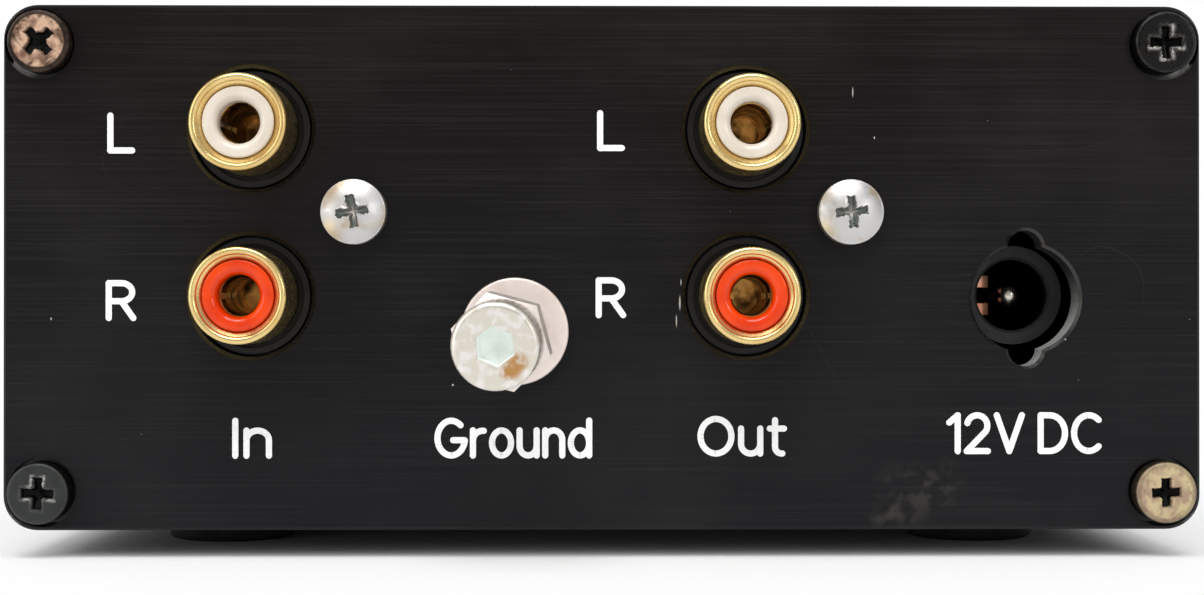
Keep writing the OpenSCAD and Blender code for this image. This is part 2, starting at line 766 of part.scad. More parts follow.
// Toothed washer that is held captive under the clamp nut and doesn't turn with it
module clamp_tooth_washer() {
    teeth = 12;
    notch_r = 0.45;
    r = tooth_washer_d / 2;
    color([0.75, 0.75, 0.74]) on_post()
        translate([0, 0, clamp_nut_foot() - fit_gap - tooth_washer_t]) difference() {
            ring(r, post_d / 2 + fit_gap, tooth_washer_t);
            for (i = [0 : teeth - 1]) rotate(i * 360 / teeth)
                translate([r, 0, -past]) cylinder(r = notch_r, h = tooth_washer_t + 2 * past);
        }
}

module clamp_nut() {
    color(steel) on_post()
        translate([0, 0, clamp_nut_foot()]) rotate(nut_turn) hex_nut(nut_h);
}

// The lug lies behind the plate on the leaning screw, clear of the plate by lean_gap
function lug_back() = plate_t + lean_gap + lug_t;

module ground_inner_nut() {
    color(steel) on_post()
        translate([0, 0, -lug_back() - fit_gap - nut_h]) hex_nut(nut_h);
}

module ground_solder_lug() {
    lug_r = 3.9;
    tail_w = 3;
    hole_r = 0.9;
    color([0.78, 0.76, 0.7]) on_post() translate([0, 0, -lug_back()]) rotate(135) difference() {
        union() {
            cylinder(r = lug_r, h = lug_t);
            translate([0, -tail_w / 2, 0]) cube([lug_l, tail_w, lug_t]);
            translate([lug_l, 0, 0]) cylinder(d = tail_w, h = lug_t);
        }
        translate([0, 0, -past]) cylinder(r = post_d / 2 + fit_gap, h = lug_t + 2 * past);
        translate([lug_l, 0, -past]) cylinder(r = hole_r, h = lug_t + 2 * past);
    }
}

// Insulated wire: straight back from the lug's eye, one bend, then down to the board
module ground_wire() {
    x = -ground_left - lug_l * sin(45);
    z = ground_z + lug_l * sin(45);
    start = lug_back() + 0.7;
    bend = 4;
    run = 9;
    color([0.1, 0.45, 0.2]) {
        on_rear(x, z) translate([0, 0, -start - run]) cylinder(d = wire_d, h = run);
        translate([x, rear_y + start + run, z]) sphere(d = wire_d);
        translate([x, rear_y + start + run, z - bend]) rotate([90, 0, 90])
            rotate_extrude(angle = 90) translate([bend, 0]) circle(d = wire_d);
        translate([x, rear_y + start + run + bend, z - bend]) sphere(d = wire_d);
        translate([x, rear_y + start + run + bend, board_z]) cylinder(d = wire_d, h = z - bend - board_z);
    }
}

// ---- Board and what it carries --------------------------------------------------------------

// Board in the sleeve's rails, with a notch round the ground terminal and holes for the tails
module circuit_board() {
    notch_w = 15;
    notch_d = 11.5;
    hole_r = tail_r + slide_gap;
    color([0.1, 0.32, 0.2]) difference() {
        translate([-board_half_w, board_y0, board_z - board_t])
            cube([2 * board_half_w, board_y1 - board_y0, board_t]);
        translate([-ground_left - notch_w / 2, board_y0 - past, board_z - board_t - past])
            cube([notch_w, notch_d + past, board_t + 2 * past]);
        for (x = rca_columns, back = leg_backs, side = [0, shell_tail_x()])
            board_hole(x - side, back, hole_r);
        board_hole(dc_x, pin_leg_back, pin_tail_r + slide_gap);
        board_hole(dc_x - leaf_x, tag_back + tag_w / 2, tag_w / 2 + 0.3);
    }
}

module board_hole(x, back, r) {
    translate([x, rear_y + back, board_z - board_t - past]) cylinder(r = r, h = board_t + 2 * past);
}

// Places of the eight legs of a package or of its socket's holes, in two rows
function leg_places() = [for (row = [-1, 1], i = [0 : 3]) [(i - 1.5) * leg_pitch, row * leg_spread / 2]];

module op_amp_sockets() {
    size = [10.2, 10, 4];
    window = [6.8, 4.8, size[2] + 2 * past];
    floor_t = 1;
    pin_hole_r = 0.6;
    color([0.08, 0.08, 0.09]) for (side = [-1, 1]) on_board(side * amp_x, amp_back) difference() {
        translate([-size[0] / 2, -size[1] / 2, 0]) cube(size);
        translate([-window[0] / 2, -window[1] / 2, -past]) cube(window);
        for (p = leg_places()) translate([p[0], p[1], floor_t]) cylinder(r = pin_hole_r, h = size[2]);
    }
}

// Eight-pin packages: body with its end notch, and legs whose shoulders run into the body
module op_amps() {
    body = [9.6, 6.4, 3.4];
    lift = 4.3;
    notch = [0.9, 0.8];
    leg = 0.5;
    leg_foot = 1.4;
    leg_top = 6;
    shoulder = [leg, 1, 0.4];
    shoulder_y = 3.45;
    color([0.12, 0.12, 0.13]) for (side = [-1, 1]) on_board(side * amp_x, amp_back) {
        translate([0, 0, lift]) difference() {
            translate([-body[0] / 2, -body[1] / 2, 0]) cube(body);
            translate([-body[0] / 2, 0, body[2] - notch[1]]) cylinder(r = notch[0], h = body[2]);
        }
        for (p = leg_places()) {
            translate([p[0] - leg / 2, p[1] - leg / 2, leg_foot]) cube([leg, leg, leg_top - leg_foot]);
            translate([p[0] - leg / 2, sign(p[1]) * shoulder_y - shoulder[1] / 2, leg_top - shoulder[2]])
                cube(shoulder);
        }
    }
}

// Box standing on the board, with rounded corners as seen from the plates
module upright_box(w, d, h, r) {
    translate([0, 0, h / 2]) rotate([90, 0, 0]) translate([0, 0, -d / 2])
        linear_extrude(d) rounded_rect(w, h, r);
}

module filter_capacitors() {
    size = [13, 5, 11];
    color([0.75, 0.18, 0.14]) for (side = [-1, 1], back = filter_backs)
        on_board(side * amp_x, back) upright_box(size[0], size[1], size[2], 0.5);
}

module coupling_capacitors() {
    size = [18, 7, 13];
    color([0.8, 0.68, 0.2]) for (side = [-1, 1])
        on_board(side * coupling_at[0], coupling_at[1]) rotate(90)
            upright_box(size[0], size[1], size[2], 0.5);
}

// Radial electrolytic can with its crimp groove and bevelled top
module radial_can(r, h) {
    groove = 0.4;
    groove_z = 1.2;
    groove_w = 1;
    edge = 0.5;
    rotate_extrude() polygon([[0, 0], [r, 0], [r, groove_z], [r - groove, groove_z + groove_w / 2],
        [r, groove_z + groove_w], [r, h - edge], [r - edge, h], [0, h]]);
}

module supply_capacitors() {
    tall = [6.3, 20];
    low = [4, 12];
    beside_amp = [3.2, 11];
    color([0.12, 0.16, 0.3]) {
        for (ahead = tall_can_aheads) on_supply(supply_x, ahead) radial_can(tall[0], tall[1]);
        for (side = [-1, 1]) {
            on_supply(side * low_can_at[0], low_can_at[1]) radial_can(low[0], low[1]);
            on_board(side * local_can_at[0], local_can_at[1])
                radial_can(beside_amp[0], beside_amp[1]);
        }
    }
}

// Axial resistor lying along y on two bent leads, its body thicker at both ends
module axial_resistor() {
    lift = 1.6;
    reach = 5;
    body = [1, 4.4];
    end = [1.25, 1.6];
    end_at = 2.4;
    lead_r = 0.3;
    rotate([90, 0, 0]) translate([0, lift, 0]) {
        translate([0, 0, -body[1] / 2]) cylinder(r = body[0], h = body[1]);
        for (side = [-1, 1])
            translate([0, 0, side * end_at - end[1] / 2]) cylinder(r = end[0], h = end[1]);
        translate([0, 0, -reach]) cylinder(r = lead_r, h = 2 * reach);
    }
    for (side = [-1, 1]) translate([0, side * reach, 0]) cylinder(r = lead_r, h = lift);
}

module resistors() {
    color([0.45, 0.6, 0.72])
        for (side = [-1, 1], row = [0 : 3], first = resistor_rows)
            on_board(side * (first[0] + row * resistor_pitch), first[1]) axial_resistor();
}

// Three-legged regulator bolted flat to its upright heat sink
module voltage_regulator() {
    lift = 4;
    body = [10, 4.4, 9];
    tab = [body[0], 1.3, 6.4];
    leg = [0.8, 0.5, lift];
    leg_y = 2.2;
    color([0.14, 0.14, 0.15]) on_supply(regulator_at[0], regulator_at[1]) {
        translate([-body[0] / 2, 0, lift]) cube(body);
        translate([-tab[0] / 2, 0, lift + body[2]]) cube(tab);
        for (i = [-1, 0, 1]) translate([i * leg_pitch - leg[0] / 2, leg_y, 0]) cube(leg);
    }
}

module regulator_heat_sink() {
    web = [16, 1.6, 20];
    fin = [1, 6.2, web[2]];
    fin_pitch = 3.6;
    fin_root = 0.2;
    color([0.2, 0.2, 0.21]) on_supply(regulator_at[0], regulator_at[1]) {
        translate([-web[0] / 2, -web[1], 0]) cube(web);
        for (i = [-2 : 2])
            translate([i * fin_pitch - fin[0] / 2, fin_root - web[1] - fin[1], 0]) cube(fin);
    }
}

// Drum choke: two flanges and a waist
module supply_choke() {
    r = 5;
    h = 10;
    waist_r = 4.4;
    flange = 1.5;
    slope = 0.5;
    color([0.2, 0.2, 0.22]) on_supply(-supply_x, choke_ahead) rotate_extrude()
        polygon([[0, 0], [r, 0], [r, flange], [waist_r, flange + slope],
            [waist_r, h - flange - slope], [r, h - flange], [r, h], [0, h]]);
}

module reverse_diode() {
    lift = 2;
    reach = 6;
    body = [1.35, 5.2];
    lead_r = 0.4;
    color([0.1, 0.1, 0.1]) on_board(dc_x, diode_back) {
        rotate([0, 90, 0]) translate([-lift, 0, 0]) {
            translate([0, 0, -body[1] / 2]) cylinder(r = body[0], h = body[1]);
            translate([0, 0, -reach]) cylinder(r = lead_r, h = 2 * reach);
        }
        for (side = [-1, 1]) translate([side * reach, 0, 0]) cylinder(r = lead_r, h = lift);
    }
}

// Boxed converter on nine pins in one row
module power_converter() {
    size = [22, 10, 11.6];
    lift = 0.4;
    pin = [0.5, 0.3, 0.6];
    pin_y = 3;
    color([0.09, 0.09, 0.1]) on_supply(-supply_x, converter_ahead) {
        translate([0, 0, lift]) upright_box(size[0], size[1], size[2], 0.6);
        for (i = [-4 : 4]) translate([i * leg_pitch - pin[0] / 2, pin_y, 0]) cube(pin);
    }
}

// ---- Front lamp -----------------------------------------------------------------------------

// The bezel's neck goes through the plate and stands out behind it
function bezel_neck_r() = bezel_d / 2 - 1 - fit_gap;
function bezel_back() = plate_t + 3;

module lamp_bezel() {
    rim = 0.4;
    bore_r = lamp_d / 2 + fit_gap;
    color([0.75, 0.75, 0.76]) on_front(0, mid_z) difference() {
        union() {
            soft_disc(bezel_d / 2, bezel_proud, rim);
            translate([0, 0, -bezel_back()]) cylinder(r = bezel_neck_r(), h = bezel_back());
        }
        translate([0, 0, -bezel_back() - past])
            cylinder(r = bore_r, h = bezel_back() + bezel_proud + 2 * past);
    }
}

// Lamp: dome and barrel in the bezel, with a flange behind it
module power_lamp() {
    r = lamp_d / 2;
    flange = [r + 0.4, 0.95];
    flange_z = -bezel_back() - fit_gap - flange[1];
    color([0.35, 0.85, 0.4]) on_front(0, mid_z) {
        translate([0, 0, lamp_proud - r]) sphere(r);
        translate([0, 0, flange_z]) cylinder(r = r, h = lamp_proud - r - flange_z);
        translate([0, 0, flange_z]) cylinder(r = flange[0], h = flange[1]);
    }
}

// Two bent leads from the lamp down to the board
module lamp_leads() {
    lead = 0.25;
    start = bezel_back() + 1;
    back = start + 2.5;
    color([0.75, 0.75, 0.74]) for (side = [-1, 1]) {
        x = side * leg_pitch / 2;
        on_front(x, mid_z) translate([0, 0, -back]) cylinder(r = lead, h = back - start);
        translate([x, front_y - back, mid_z]) sphere(lead);
        translate([x, front_y - back, board_z]) cylinder(r = lead, h = mid_z - board_z);
    }
}

// ---- The pieces -----------------------------------------------------------------------------

sleeve();
rear_plate();
front_plate();
rear_screws_worn();
rear_screws_black();
front_plate_screws();
rubber_feet();
rca_housing(rca_columns[0]);  // rca_in_housing
rca_housing(rca_columns[1]);  // rca_out_housing
rca_shell(rca_columns[0], rca_high_z, leg_backs[1]);  // rca_shell_in_l
rca_shell(rca_columns[0], rca_low_z, leg_backs[0]);  // rca_shell_in_r
rca_shell(rca_columns[1], rca_high_z, leg_backs[1]);  // rca_shell_out_l
rca_shell(rca_columns[1], rca_low_z, leg_backs[0]);  // rca_shell_out_r
rca_insulator(rca_columns[0], rca_high_z, white);  // rca_insulator_in_l
rca_insulator(rca_columns[0], rca_low_z, red);  // rca_insulator_in_r
rca_insulator(rca_columns[1], rca_high_z, white);  // rca_insulator_out_l
rca_insulator(rca_columns[1], rca_low_z, red);  // rca_insulator_out_r
rca_contact(rca_columns[0], rca_high_z, leg_backs[1]);  // rca_contact_in_l
rca_contact(rca_columns[0], rca_low_z, leg_backs[0]);  // rca_contact_in_r
rca_contact(rca_columns[1], rca_high_z, leg_backs[1]);  // rca_contact_out_l
rca_contact(rca_columns[1], rca_low_z, leg_backs[0]);  // rca_contact_out_r
rca_fixing_screws();
dc_jack_housing();
dc_centre_pin();
dc_leaf_contact();
dc_leaf_tag();
ground_screw();
ground_washer();
clamp_tooth_washer();
clamp_nut();
ground_inner_nut();
ground_solder_lug();
ground_wire();
circuit_board();
op_amps();
op_amp_sockets();
filter_capacitors();
supply_capacitors();
coupling_capacitors();
resistors();
voltage_regulator();
regulator_heat_sink();
supply_choke();
reverse_diode();
power_converter();
lamp_bezel();
power_lamp();
lamp_leads();
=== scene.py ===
"""Looks of a phono preamplifier in a small extruded case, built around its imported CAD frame.

The axes are the frame's: X to the right as seen from the connectors, Y into the case, Z up.
Lengths are in millimetres until a mesh is written in metres.
"""

import json
import logging
import math
from collections.abc import Callable, Sequence
from dataclasses import dataclass, replace
from enum import Enum

import bmesh
import bpy
import numpy as np
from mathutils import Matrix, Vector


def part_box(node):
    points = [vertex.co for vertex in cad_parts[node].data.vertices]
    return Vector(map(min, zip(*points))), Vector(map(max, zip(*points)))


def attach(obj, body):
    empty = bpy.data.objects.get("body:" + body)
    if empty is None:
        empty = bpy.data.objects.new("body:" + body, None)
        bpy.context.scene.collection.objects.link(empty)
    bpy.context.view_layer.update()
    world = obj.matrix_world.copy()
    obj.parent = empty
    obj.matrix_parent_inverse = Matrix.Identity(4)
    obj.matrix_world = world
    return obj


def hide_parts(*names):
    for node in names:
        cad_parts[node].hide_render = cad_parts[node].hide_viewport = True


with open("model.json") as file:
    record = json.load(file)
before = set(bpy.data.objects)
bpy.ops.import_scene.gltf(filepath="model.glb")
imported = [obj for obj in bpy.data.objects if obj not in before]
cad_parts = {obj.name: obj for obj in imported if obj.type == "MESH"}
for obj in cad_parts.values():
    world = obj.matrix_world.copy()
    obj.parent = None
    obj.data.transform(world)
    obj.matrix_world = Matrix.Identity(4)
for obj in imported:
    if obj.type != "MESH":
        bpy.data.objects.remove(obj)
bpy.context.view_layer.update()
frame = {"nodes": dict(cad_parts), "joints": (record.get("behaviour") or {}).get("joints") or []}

LOG = logging.getLogger("phono_preamp")
MM = 0.001
FULL_TURN = 2 * math.pi
NOISE_SPAN = (0.3, 0.7)  # where most values of a noise texture lie
# depths where the recess colour starts and where it covers the metal: soiling with painted shade, and
# painted light in a hex socket
GRIME_AND_PAINTED_LIGHT_DEPTHS = (0.12, 0.5)  # where dirt starts in a recess, and where it covers the metal
THREAD_DEPTH, THREAD_TAPER, THREAD_ROWS = 0.55, 0.25, 8  # in pitches, radii, and rows a pitch
WELD_REACH = 0.0000004


# ---- Places ---------------------------------------------------------------------------------


@dataclass(frozen=True)
class Place:
    """Where a piece's own axes lie in the frame: `axes` has its x, y and z directions as rows."""

    origin: np.ndarray
    axes: np.ndarray

    def put(self, points: np.ndarray) -> np.ndarray:
        """Returns points given on the piece's own axes as points of the frame."""
        return self.origin + points @ self.axes

    def back(self, points: np.ndarray) -> np.ndarray:
        """Returns points of the frame as points on the piece's own axes."""
        return (points - self.origin) @ self.axes.T

    def shifted(self, x: float = 0.0, y: float = 0.0, z: float = 0.0) -> "Place":
        """Returns the place moved along its own axes."""
        return Place(self.put(np.array([x, y, z])), self.axes)

    def turned(self, degrees: float) -> "Place":
        """Returns the place turned about its own z axis."""
        c, s = math.cos(math.radians(degrees)), math.sin(math.radians(degrees))
        return Place(self.origin, np.array([[c, s, 0], [-s, c, 0], [0, 0, 1]]) @ self.axes)


def node_box(node: str) -> tuple[np.ndarray, np.ndarray]:
    """Returns the lowest and highest corner of a CAD node, in millimetres."""
    low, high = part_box(node)
    return np.array(low) / MM, np.array(high) / MM


def node_middle(node: str) -> tuple[float, float, float]:
    """Returns the middle of a CAD node's box, in millimetres."""
    low, high = node_box(node)
    return tuple(((low + high) / 2).tolist())


REAR_Y = float(node_box("rear_plate")[0][1])
FRONT_Y = float(node_box("front_plate")[1][1])
MID_Z = node_middle("rear_plate")[2]
FRAME_AXES = np.eye(3)
IN_FRAME = Place(np.zeros(3), FRAME_AXES)


def on_rear(x: float, z: float) -> Place:
    """Returns a place on the rear plate's outer face: x to the right, y up, z out of it."""
    return Place(np.array([x, REAR_Y, z]), np.array([[1.0, 0, 0], [0, 0, 1], [0, -1, 0]]))


def on_front(x: float, z: float) -> Place:
    """Returns a place on the front plate's outer face: y up, z out of it."""
    return Place(np.array([x, FRONT_Y, z]), np.array([[-1.0, 0, 0], [0, 0, 1], [0, 1, 0]]))


def on_joint(name: str) -> Place:
    """Returns the place of a joint's axis: z against the axis, x level and to the right.

    Args:
        name: A joint of the frame that has a point.

    Returns:
        The place, at the joint's own point.
    """
    joint = next(j for j in frame["joints"] if j["name"] == name)
    out = -np.array(joint["axis"])
    level = np.cross([0.0, 0, 1], -out)
    level = -level / np.linalg.norm(level)
    return Place(np.array(joint["pos_m"]) / MM, np.array([level, np.cross(out, level), out]))


# ---- Surfaces -------------------------------------------------------------------------------


@dataclass(frozen=True)
class Sheet:
    """A grid of points (rows, columns, 3) that becomes quads and may close on itself."""

    points: np.ndarray
    rows_close: bool = False
    columns_close: bool = True
    wear: np.ndarray | None = None
    # mask for a recess colour: soiling with painted shade, and painted light in a hex socket
    grime_and_painted_light: np.ndarray | None = None

    def quads(self, start: int) -> np.ndarray:
        """Returns the corner numbers of each quad.

        Args:
            start: Number of the sheet's first point in the whole mesh.

        Returns:
            One row of four corner numbers for each cell of the grid.
        """
        rows, columns = self.points.shape[:2]
        i = np.arange(rows if self.rows_close else rows - 1)[:, None]
        j = np.arange(columns if self.columns_close else columns - 1)[None, :]
        ahead, across = (i + 1) % rows, (j + 1) % columns
        cells = [i * columns + j, i * columns + across, ahead * columns + across, ahead * columns + j]
        return start + np.stack(cells, -1).reshape(-1, 4)


def fillet(corners: Sequence[tuple[float, float, float]], closed: bool = False) -> np.ndarray:
    """Rounds a polyline: each corner is replaced by an arc tangent to both of its runs.

    The arc of radius r at a corner of half angle h starts r / tan(h) from the corner along each
    run, and its centre lies r / sin(h) from the corner along the bisector.

    Args:
        corners: Corners as (x, y, radius); a radius of 0 keeps the corner sharp.
        closed: Whether the last corner joins the first.

    Returns:
        The rounded polyline as (points, 2).
    """
    points = np.array([corner[:2] for corner in corners], float)
    count, out = len(points), []
    for k, (_, _, radius) in enumerate(corners):
        at_end = not closed and k in (0, count - 1)
        if radius == 0 or at_end:
            out.append(points[k : k + 1])
            continue
        back = points[k - 1] - points[k]
        ahead = points[(k + 1) % count] - points[k]
        back, ahead = back / np.linalg.norm(back), ahead / np.linalg.norm(ahead)
        bisector = (back + ahead) / np.linalg.norm(back + ahead)
        half = math.acos(np.clip(back @ bisector, -1, 1))
        centre = points[k] + bisector * radius / math.sin(half)
        first = points[k] + back * radius / math.tan(half) - centre
        last = points[k] + ahead * radius / math.tan(half) - centre
        share = np.linspace(0, 1, 7)[:, None]
        sweep = math.pi - 2 * half
        arc = (np.sin((1 - share) * sweep) * first + np.sin(share * sweep) * last) / math.sin(sweep)
        out.append(centre + arc)
    return np.concatenate(out)


def lathe(profile: np.ndarray, columns: int = 96, closed: bool = False) -> Sheet:
    """Turns a profile round the z axis: x = r cos t, y = r sin t, z = z.

    Args:
        profile: Points (r, z).
        columns: Number of points round the axis.
        closed: Whether the profile's end joins its start, as in a ring.

    Returns:
        The turned surface.
    """
    turn = np.linspace(0, FULL_TURN, columns, endpoint=False)
    r, z = profile[:, :1], profile[:, 1:]
    points = np.stack([r * np.cos(turn), r * np.sin(turn), z + 0 * turn], -1)
    return Sheet(points, rows_close=closed)


def capped(rows: np.ndarray) -> np.ndarray:
    """Returns the rows with each end row drawn to its own middle, which closes a tube."""
    ends = rows[[0, -1]].mean(1, keepdims=True) + 0 * rows[[0, -1]]
    return np.concatenate([ends[:1], rows, ends[1:]])


def tube(path: np.ndarray, radius: float, side: Sequence[float], columns: int = 20) -> Sheet:
    """Carries a circle along a flat path: point = path + r (cos t side + sin t (side x tangent)).

    Args:
        path: Points (n, 3) in one plane.
        radius: The tube's radius.
        side: Direction at right angles to that plane.
        columns: Number of points round the tube.

    Returns:
        The tube with closed ends.
    """
    tangent = np.gradient(path, axis=0)
    tangent /= np.linalg.norm(tangent, axis=1, keepdims=True)
    across = np.cross(np.array(side, float), tangent)
    turn = np.linspace(0, FULL_TURN, columns, endpoint=False)[None, :, None]
    ring = np.cos(turn) * np.array(side, float) + np.sin(turn) * across[:, None]
    return Sheet(capped(path[:, None] + radius * ring))


def strip(path: np.ndarray, thick: float, low: float, high: float) -> Sheet:
    """Carries a thin bar with softened edges along a path in the local xz plane.

    Each section is a rectangle: the path's normal times half the thickness one way, and y from
    low to high the other way, with its four corners cut by a fifth of the thickness.

    Args:
        path: Points (x, z).
        thick: Thickness of the bar.
        low: Lower y of the bar.
        high: Upper y of the bar.

    Returns:
        The bar with closed ends.
    """
    tangent = np.gradient(path, axis=0)
    tangent /= np.linalg.norm(tangent, axis=1, keepdims=True)
    normal = np.stack([-tangent[:, 1], tangent[:, 0]], -1)
    cut, half = thick / 5, thick / 2
    loop = np.array(
        [[half, low + cut], [half, high - cut], [half - cut, high], [cut - half, high],
         [-half, high - cut], [-half, low + cut], [cut - half, low], [half - cut, low]]
    )
    flat = path[:, None] + normal[:, None] * loop[None, :, :1]
    rows = np.stack([flat[..., 0], np.broadcast_to(loop[:, 1], flat.shape[:2]), flat[..., 1]], -1)
    return Sheet(capped(rows))


def thread(major: float, pitch: float, top: float, bottom: float, columns: int = 40) -> Sheet:
    """Cuts a screw thread: r = root + depth x triangle wave of (z / pitch - turn / full turn).

    Args:
        major: Outer radius of the thread.
        pitch: Distance between two turns.
        top: Height where the thread starts.
        bottom: Height of the screw's tip, lower than top.
        columns: Number of points round the axis.

    Returns:
        The threaded rod, closed at both ends, with its tip tapered over one pitch.
    """
    z = np.linspace(top, bottom, int((top - bottom) / pitch * THREAD_ROWS))[:, None]
    turn = np.linspace(0, FULL_TURN, columns, endpoint=False)[None, :]
    ridge = 1 - np.abs(2 * ((z / pitch - turn / FULL_TURN) % 1) - 1)
    depth = THREAD_DEPTH * pitch
    taper = np.clip((z - bottom) / pitch, 0, 1)
    r = major - depth * (1 - ridge) - THREAD_TAPER * major * (1 - taper)
    return Sheet(capped(np.stack([r * np.cos(turn), r * np.sin(turn), z + 0 * turn], -1)))


def tail(x: float, z: float, start: float, back: float, foot: float, radius: float) -> Sheet:
    """Makes a solder tail: straight back from a connector, one bend, then down through the board.

    Args:
        x: Place of the tail to the right.
        z: Height of the tail's straight stretch.
        start: Depth behind the rear plate's outer face where it starts.
        back: Depth where it turns down.
        foot: Height of its lower end.
        radius: The tail's radius.

    Returns:
        The tail as a tube, in the frame's own axes.
    """
    route = fillet([(REAR_Y + start, z, 0), (REAR_Y + back, z, 2 * radius), (REAR_Y + back, foot, 0)])
    return tube(np.insert(route, 0, x, axis=1), radius, (1, 0, 0))


def ripple(x: np.ndarray, y: np.ndarray, seed: float) -> np.ndarray:
    """Returns an uneven value from -1 to 1: the mean of three crossed waves over a bent grid.

    Args:
        x: Places across.
        y: Places up.
        seed: Which pattern it is.

    Returns:
        One value for each place.
    """
    u, v = x + 0.3 * np.sin(3.1 * y + seed), y + 0.3 * np.sin(2.7 * x - 1.3 * seed)
    waves = (
        np.sin(5.3 * u + 1.7 * seed) * np.cos(4.1 * v - seed),
        np.sin(9.7 * v + 2.3 * seed) * np.cos(7.9 * u + 0.6 * seed),
        np.sin(13.1 * u - 2.2 * seed) * np.cos(11.7 * v + 3.1 * seed),
    )
    return sum(waves) / len(waves)


def smooth(value: np.ndarray, low: float, high: float) -> np.ndarray:
    """Returns 0 below low and 1 above high, joined by the cubic 3 s s - 2 s s s."""
    share = np.clip((value - low) / (high - low), 0, 1)
    return share * share * (3 - 2 * share)


# ---- Shading --------------------------------------------------------------------------------


def tone(red: int, green: int, blue: int) -> tuple[float, float, float, float]:
    """Returns a colour as a shader takes it, from its screen values of 0 to 255."""
    screen = np.array([red, green, blue]) / 255
    light = np.where(screen <= 0.04045, screen / 12.92, ((screen + 0.055) / 1.055) ** 2.4)
    return (*light.tolist(), 1.0)


@dataclass(frozen=True)
class Wiring:
    """Short ways to add linked nodes to one node tree."""

    tree: bpy.types.NodeTree

    def add(self, kind: str, feeds: dict | None = None, **settings: object) -> bpy.types.Node:
        """Adds a node.

        Args:
            kind: Node type without its ShaderNode prefix.
            feeds: Sockets, links or plain values by input name or number.
            settings: Properties of the node.

        Returns:
            The new node.
        """
        node = self.tree.nodes.new("ShaderNode" + kind)
        for key, value in settings.items():
            setattr(node, key, value)
        for key, value in (feeds or {}).items():
            if isinstance(value, bpy.types.NodeSocket):
                self.tree.links.new(value, node.inputs[key])
            else:
                node.inputs[key].default_value = value
        return node

    def math(self, operation: str, first: object, second: object = 0.0) -> bpy.types.NodeSocket:
        """Returns the result of a Math node."""
        return self.add("Math", {0: first, 1: second}, operation=operation).outputs[0]

    def times(self, first: object, second: object) -> bpy.types.NodeSocket:
        """Returns the product of two values."""
        return self.math("MULTIPLY", first, second)

    def less(self, first: object, second: object) -> bpy.types.NodeSocket:
        """Returns the first value less the second."""
        return self.math("SUBTRACT", first, second)

    def clamped(self, value: object) -> bpy.types.NodeSocket:
        """Returns the value, kept from 0 to 1."""
        return self.add("Clamp", {0: value}).outputs[0]

    def mark(self, attribute: str) -> bpy.types.NodeSocket:
        """Returns one of the mesh's own attributes."""
        return self.add("Attribute", attribute_name=attribute).outputs["Fac"]

    def axes(self, position: object) -> Sequence[bpy.types.NodeSocket]:
        """Returns the x, y and z of a place."""
        return self.add("SeparateXYZ", {0: position}).outputs

    def principled(self, feeds: dict) -> bpy.types.NodeSocket:
        """Returns a Principled shader."""
        return self.add("BsdfPrincipled", feeds).outputs[0]

    def vector(self, operation: str, first: object, second: object) -> bpy.types.NodeSocket:
        """Returns the vector, or the length or product, of a Vector Math node."""
        node = self.add("VectorMath", {0: first, 1: second}, operation=operation)
        return node.outputs["Value" if operation in ("LENGTH", "DOT_PRODUCT", "DISTANCE") else "Vector"]

    def ease(
        self, value: object, low: float, high: float, to_low: float = 0.0, to_high: float = 1.0
    ) -> bpy.types.NodeSocket:
        """Returns value eased from to_low at low to to_high at high."""
        feeds = {"Value": value, "From Min": low, "From Max": high, "To Min": to_low, "To Max": to_high}
        return self.add("MapRange", feeds, interpolation_type="SMOOTHSTEP").outputs[0]

    def blend(self, share: object, first: object, second: object) -> bpy.types.NodeSocket:
        """Returns the colour that goes from first to second as share goes from 0 to 1."""
        return self.add("Mix", {0: share, 6: first, 7: second}, data_type="RGBA").outputs[2]

    def noise(self, position: object, scale: float, detail: float = 3.0) -> bpy.types.NodeSocket:
        """Returns the value of a noise texture."""
        return self.add("TexNoise", {"Vector": position, "Scale": scale, "Detail": detail}).outputs["Fac"]

    def group(self, tree: bpy.types.NodeTree, feeds: dict) -> bpy.types.NodeSocket:
        """Places a node group and returns its first output."""
        return self.add("Group", feeds, node_tree=tree).outputs[0]

    def bump(self, height: object, depth: float, strength: float = 1.0) -> bpy.types.NodeSocket:
        """Returns the normal that a height of 0 to 1 gives over a depth in metres."""
        feeds = {"Height": height, "Distance": depth, "Strength": strength}
        return self.add("Bump", feeds).outputs["Normal"]


class Effect(Enum):
    """Surface effects that several finishes share, each one a shader node group."""

    BRUSHED_GRAIN = "brushed_grain"
    DUST_SPECKS = "dust_specks"
    HAIR_SCRATCHES = "hair_scratches"
    STAIN_PATCHES = "stain_patches"
    BOX_EDGE_WEAR = "box_edge_wear"
    LOCAL_SMUDGE = "local_smudge"

    def tree(self) -> bpy.types.NodeTree:
        """Returns the effect's node group, wired the first time it is asked for."""
        made = bpy.data.node_groups.get(self.value)
        return made if made else EFFECT_MAKERS[self](self.value)


def new_group(name: str, inputs: Sequence[tuple[str, str, object]]) -> tuple[Wiring, dict, Callable]:
    """Starts a node group that puts out one mask.

    Args:
        name: The group's name.
        inputs: Name, socket type without its NodeSocket prefix, and value of each input.

    Returns:
        The group's wiring, its input sockets by name, and a function that takes the mask.
    """
    tree = bpy.data.node_groups.new(name, "ShaderNodeTree")
    for label, kind, value in inputs:
        socket = tree.interface.new_socket(label, in_out="INPUT", socket_type="NodeSocket" + kind)
        if value is not None:
            socket.default_value = value
    tree.interface.new_socket("Mask", in_out="OUTPUT", socket_type="NodeSocketFloat")
    source, sink = tree.nodes.new("NodeGroupInput"), tree.nodes.new("NodeGroupOutput")

    def finish(mask: bpy.types.NodeSocket) -> bpy.types.NodeTree:
        """Links the mask to the group's output and returns the group."""
        tree.links.new(mask, sink.inputs[0])
        return tree

    return Wiring(tree), {label: source.outputs[label] for label, _, _ in inputs}, finish


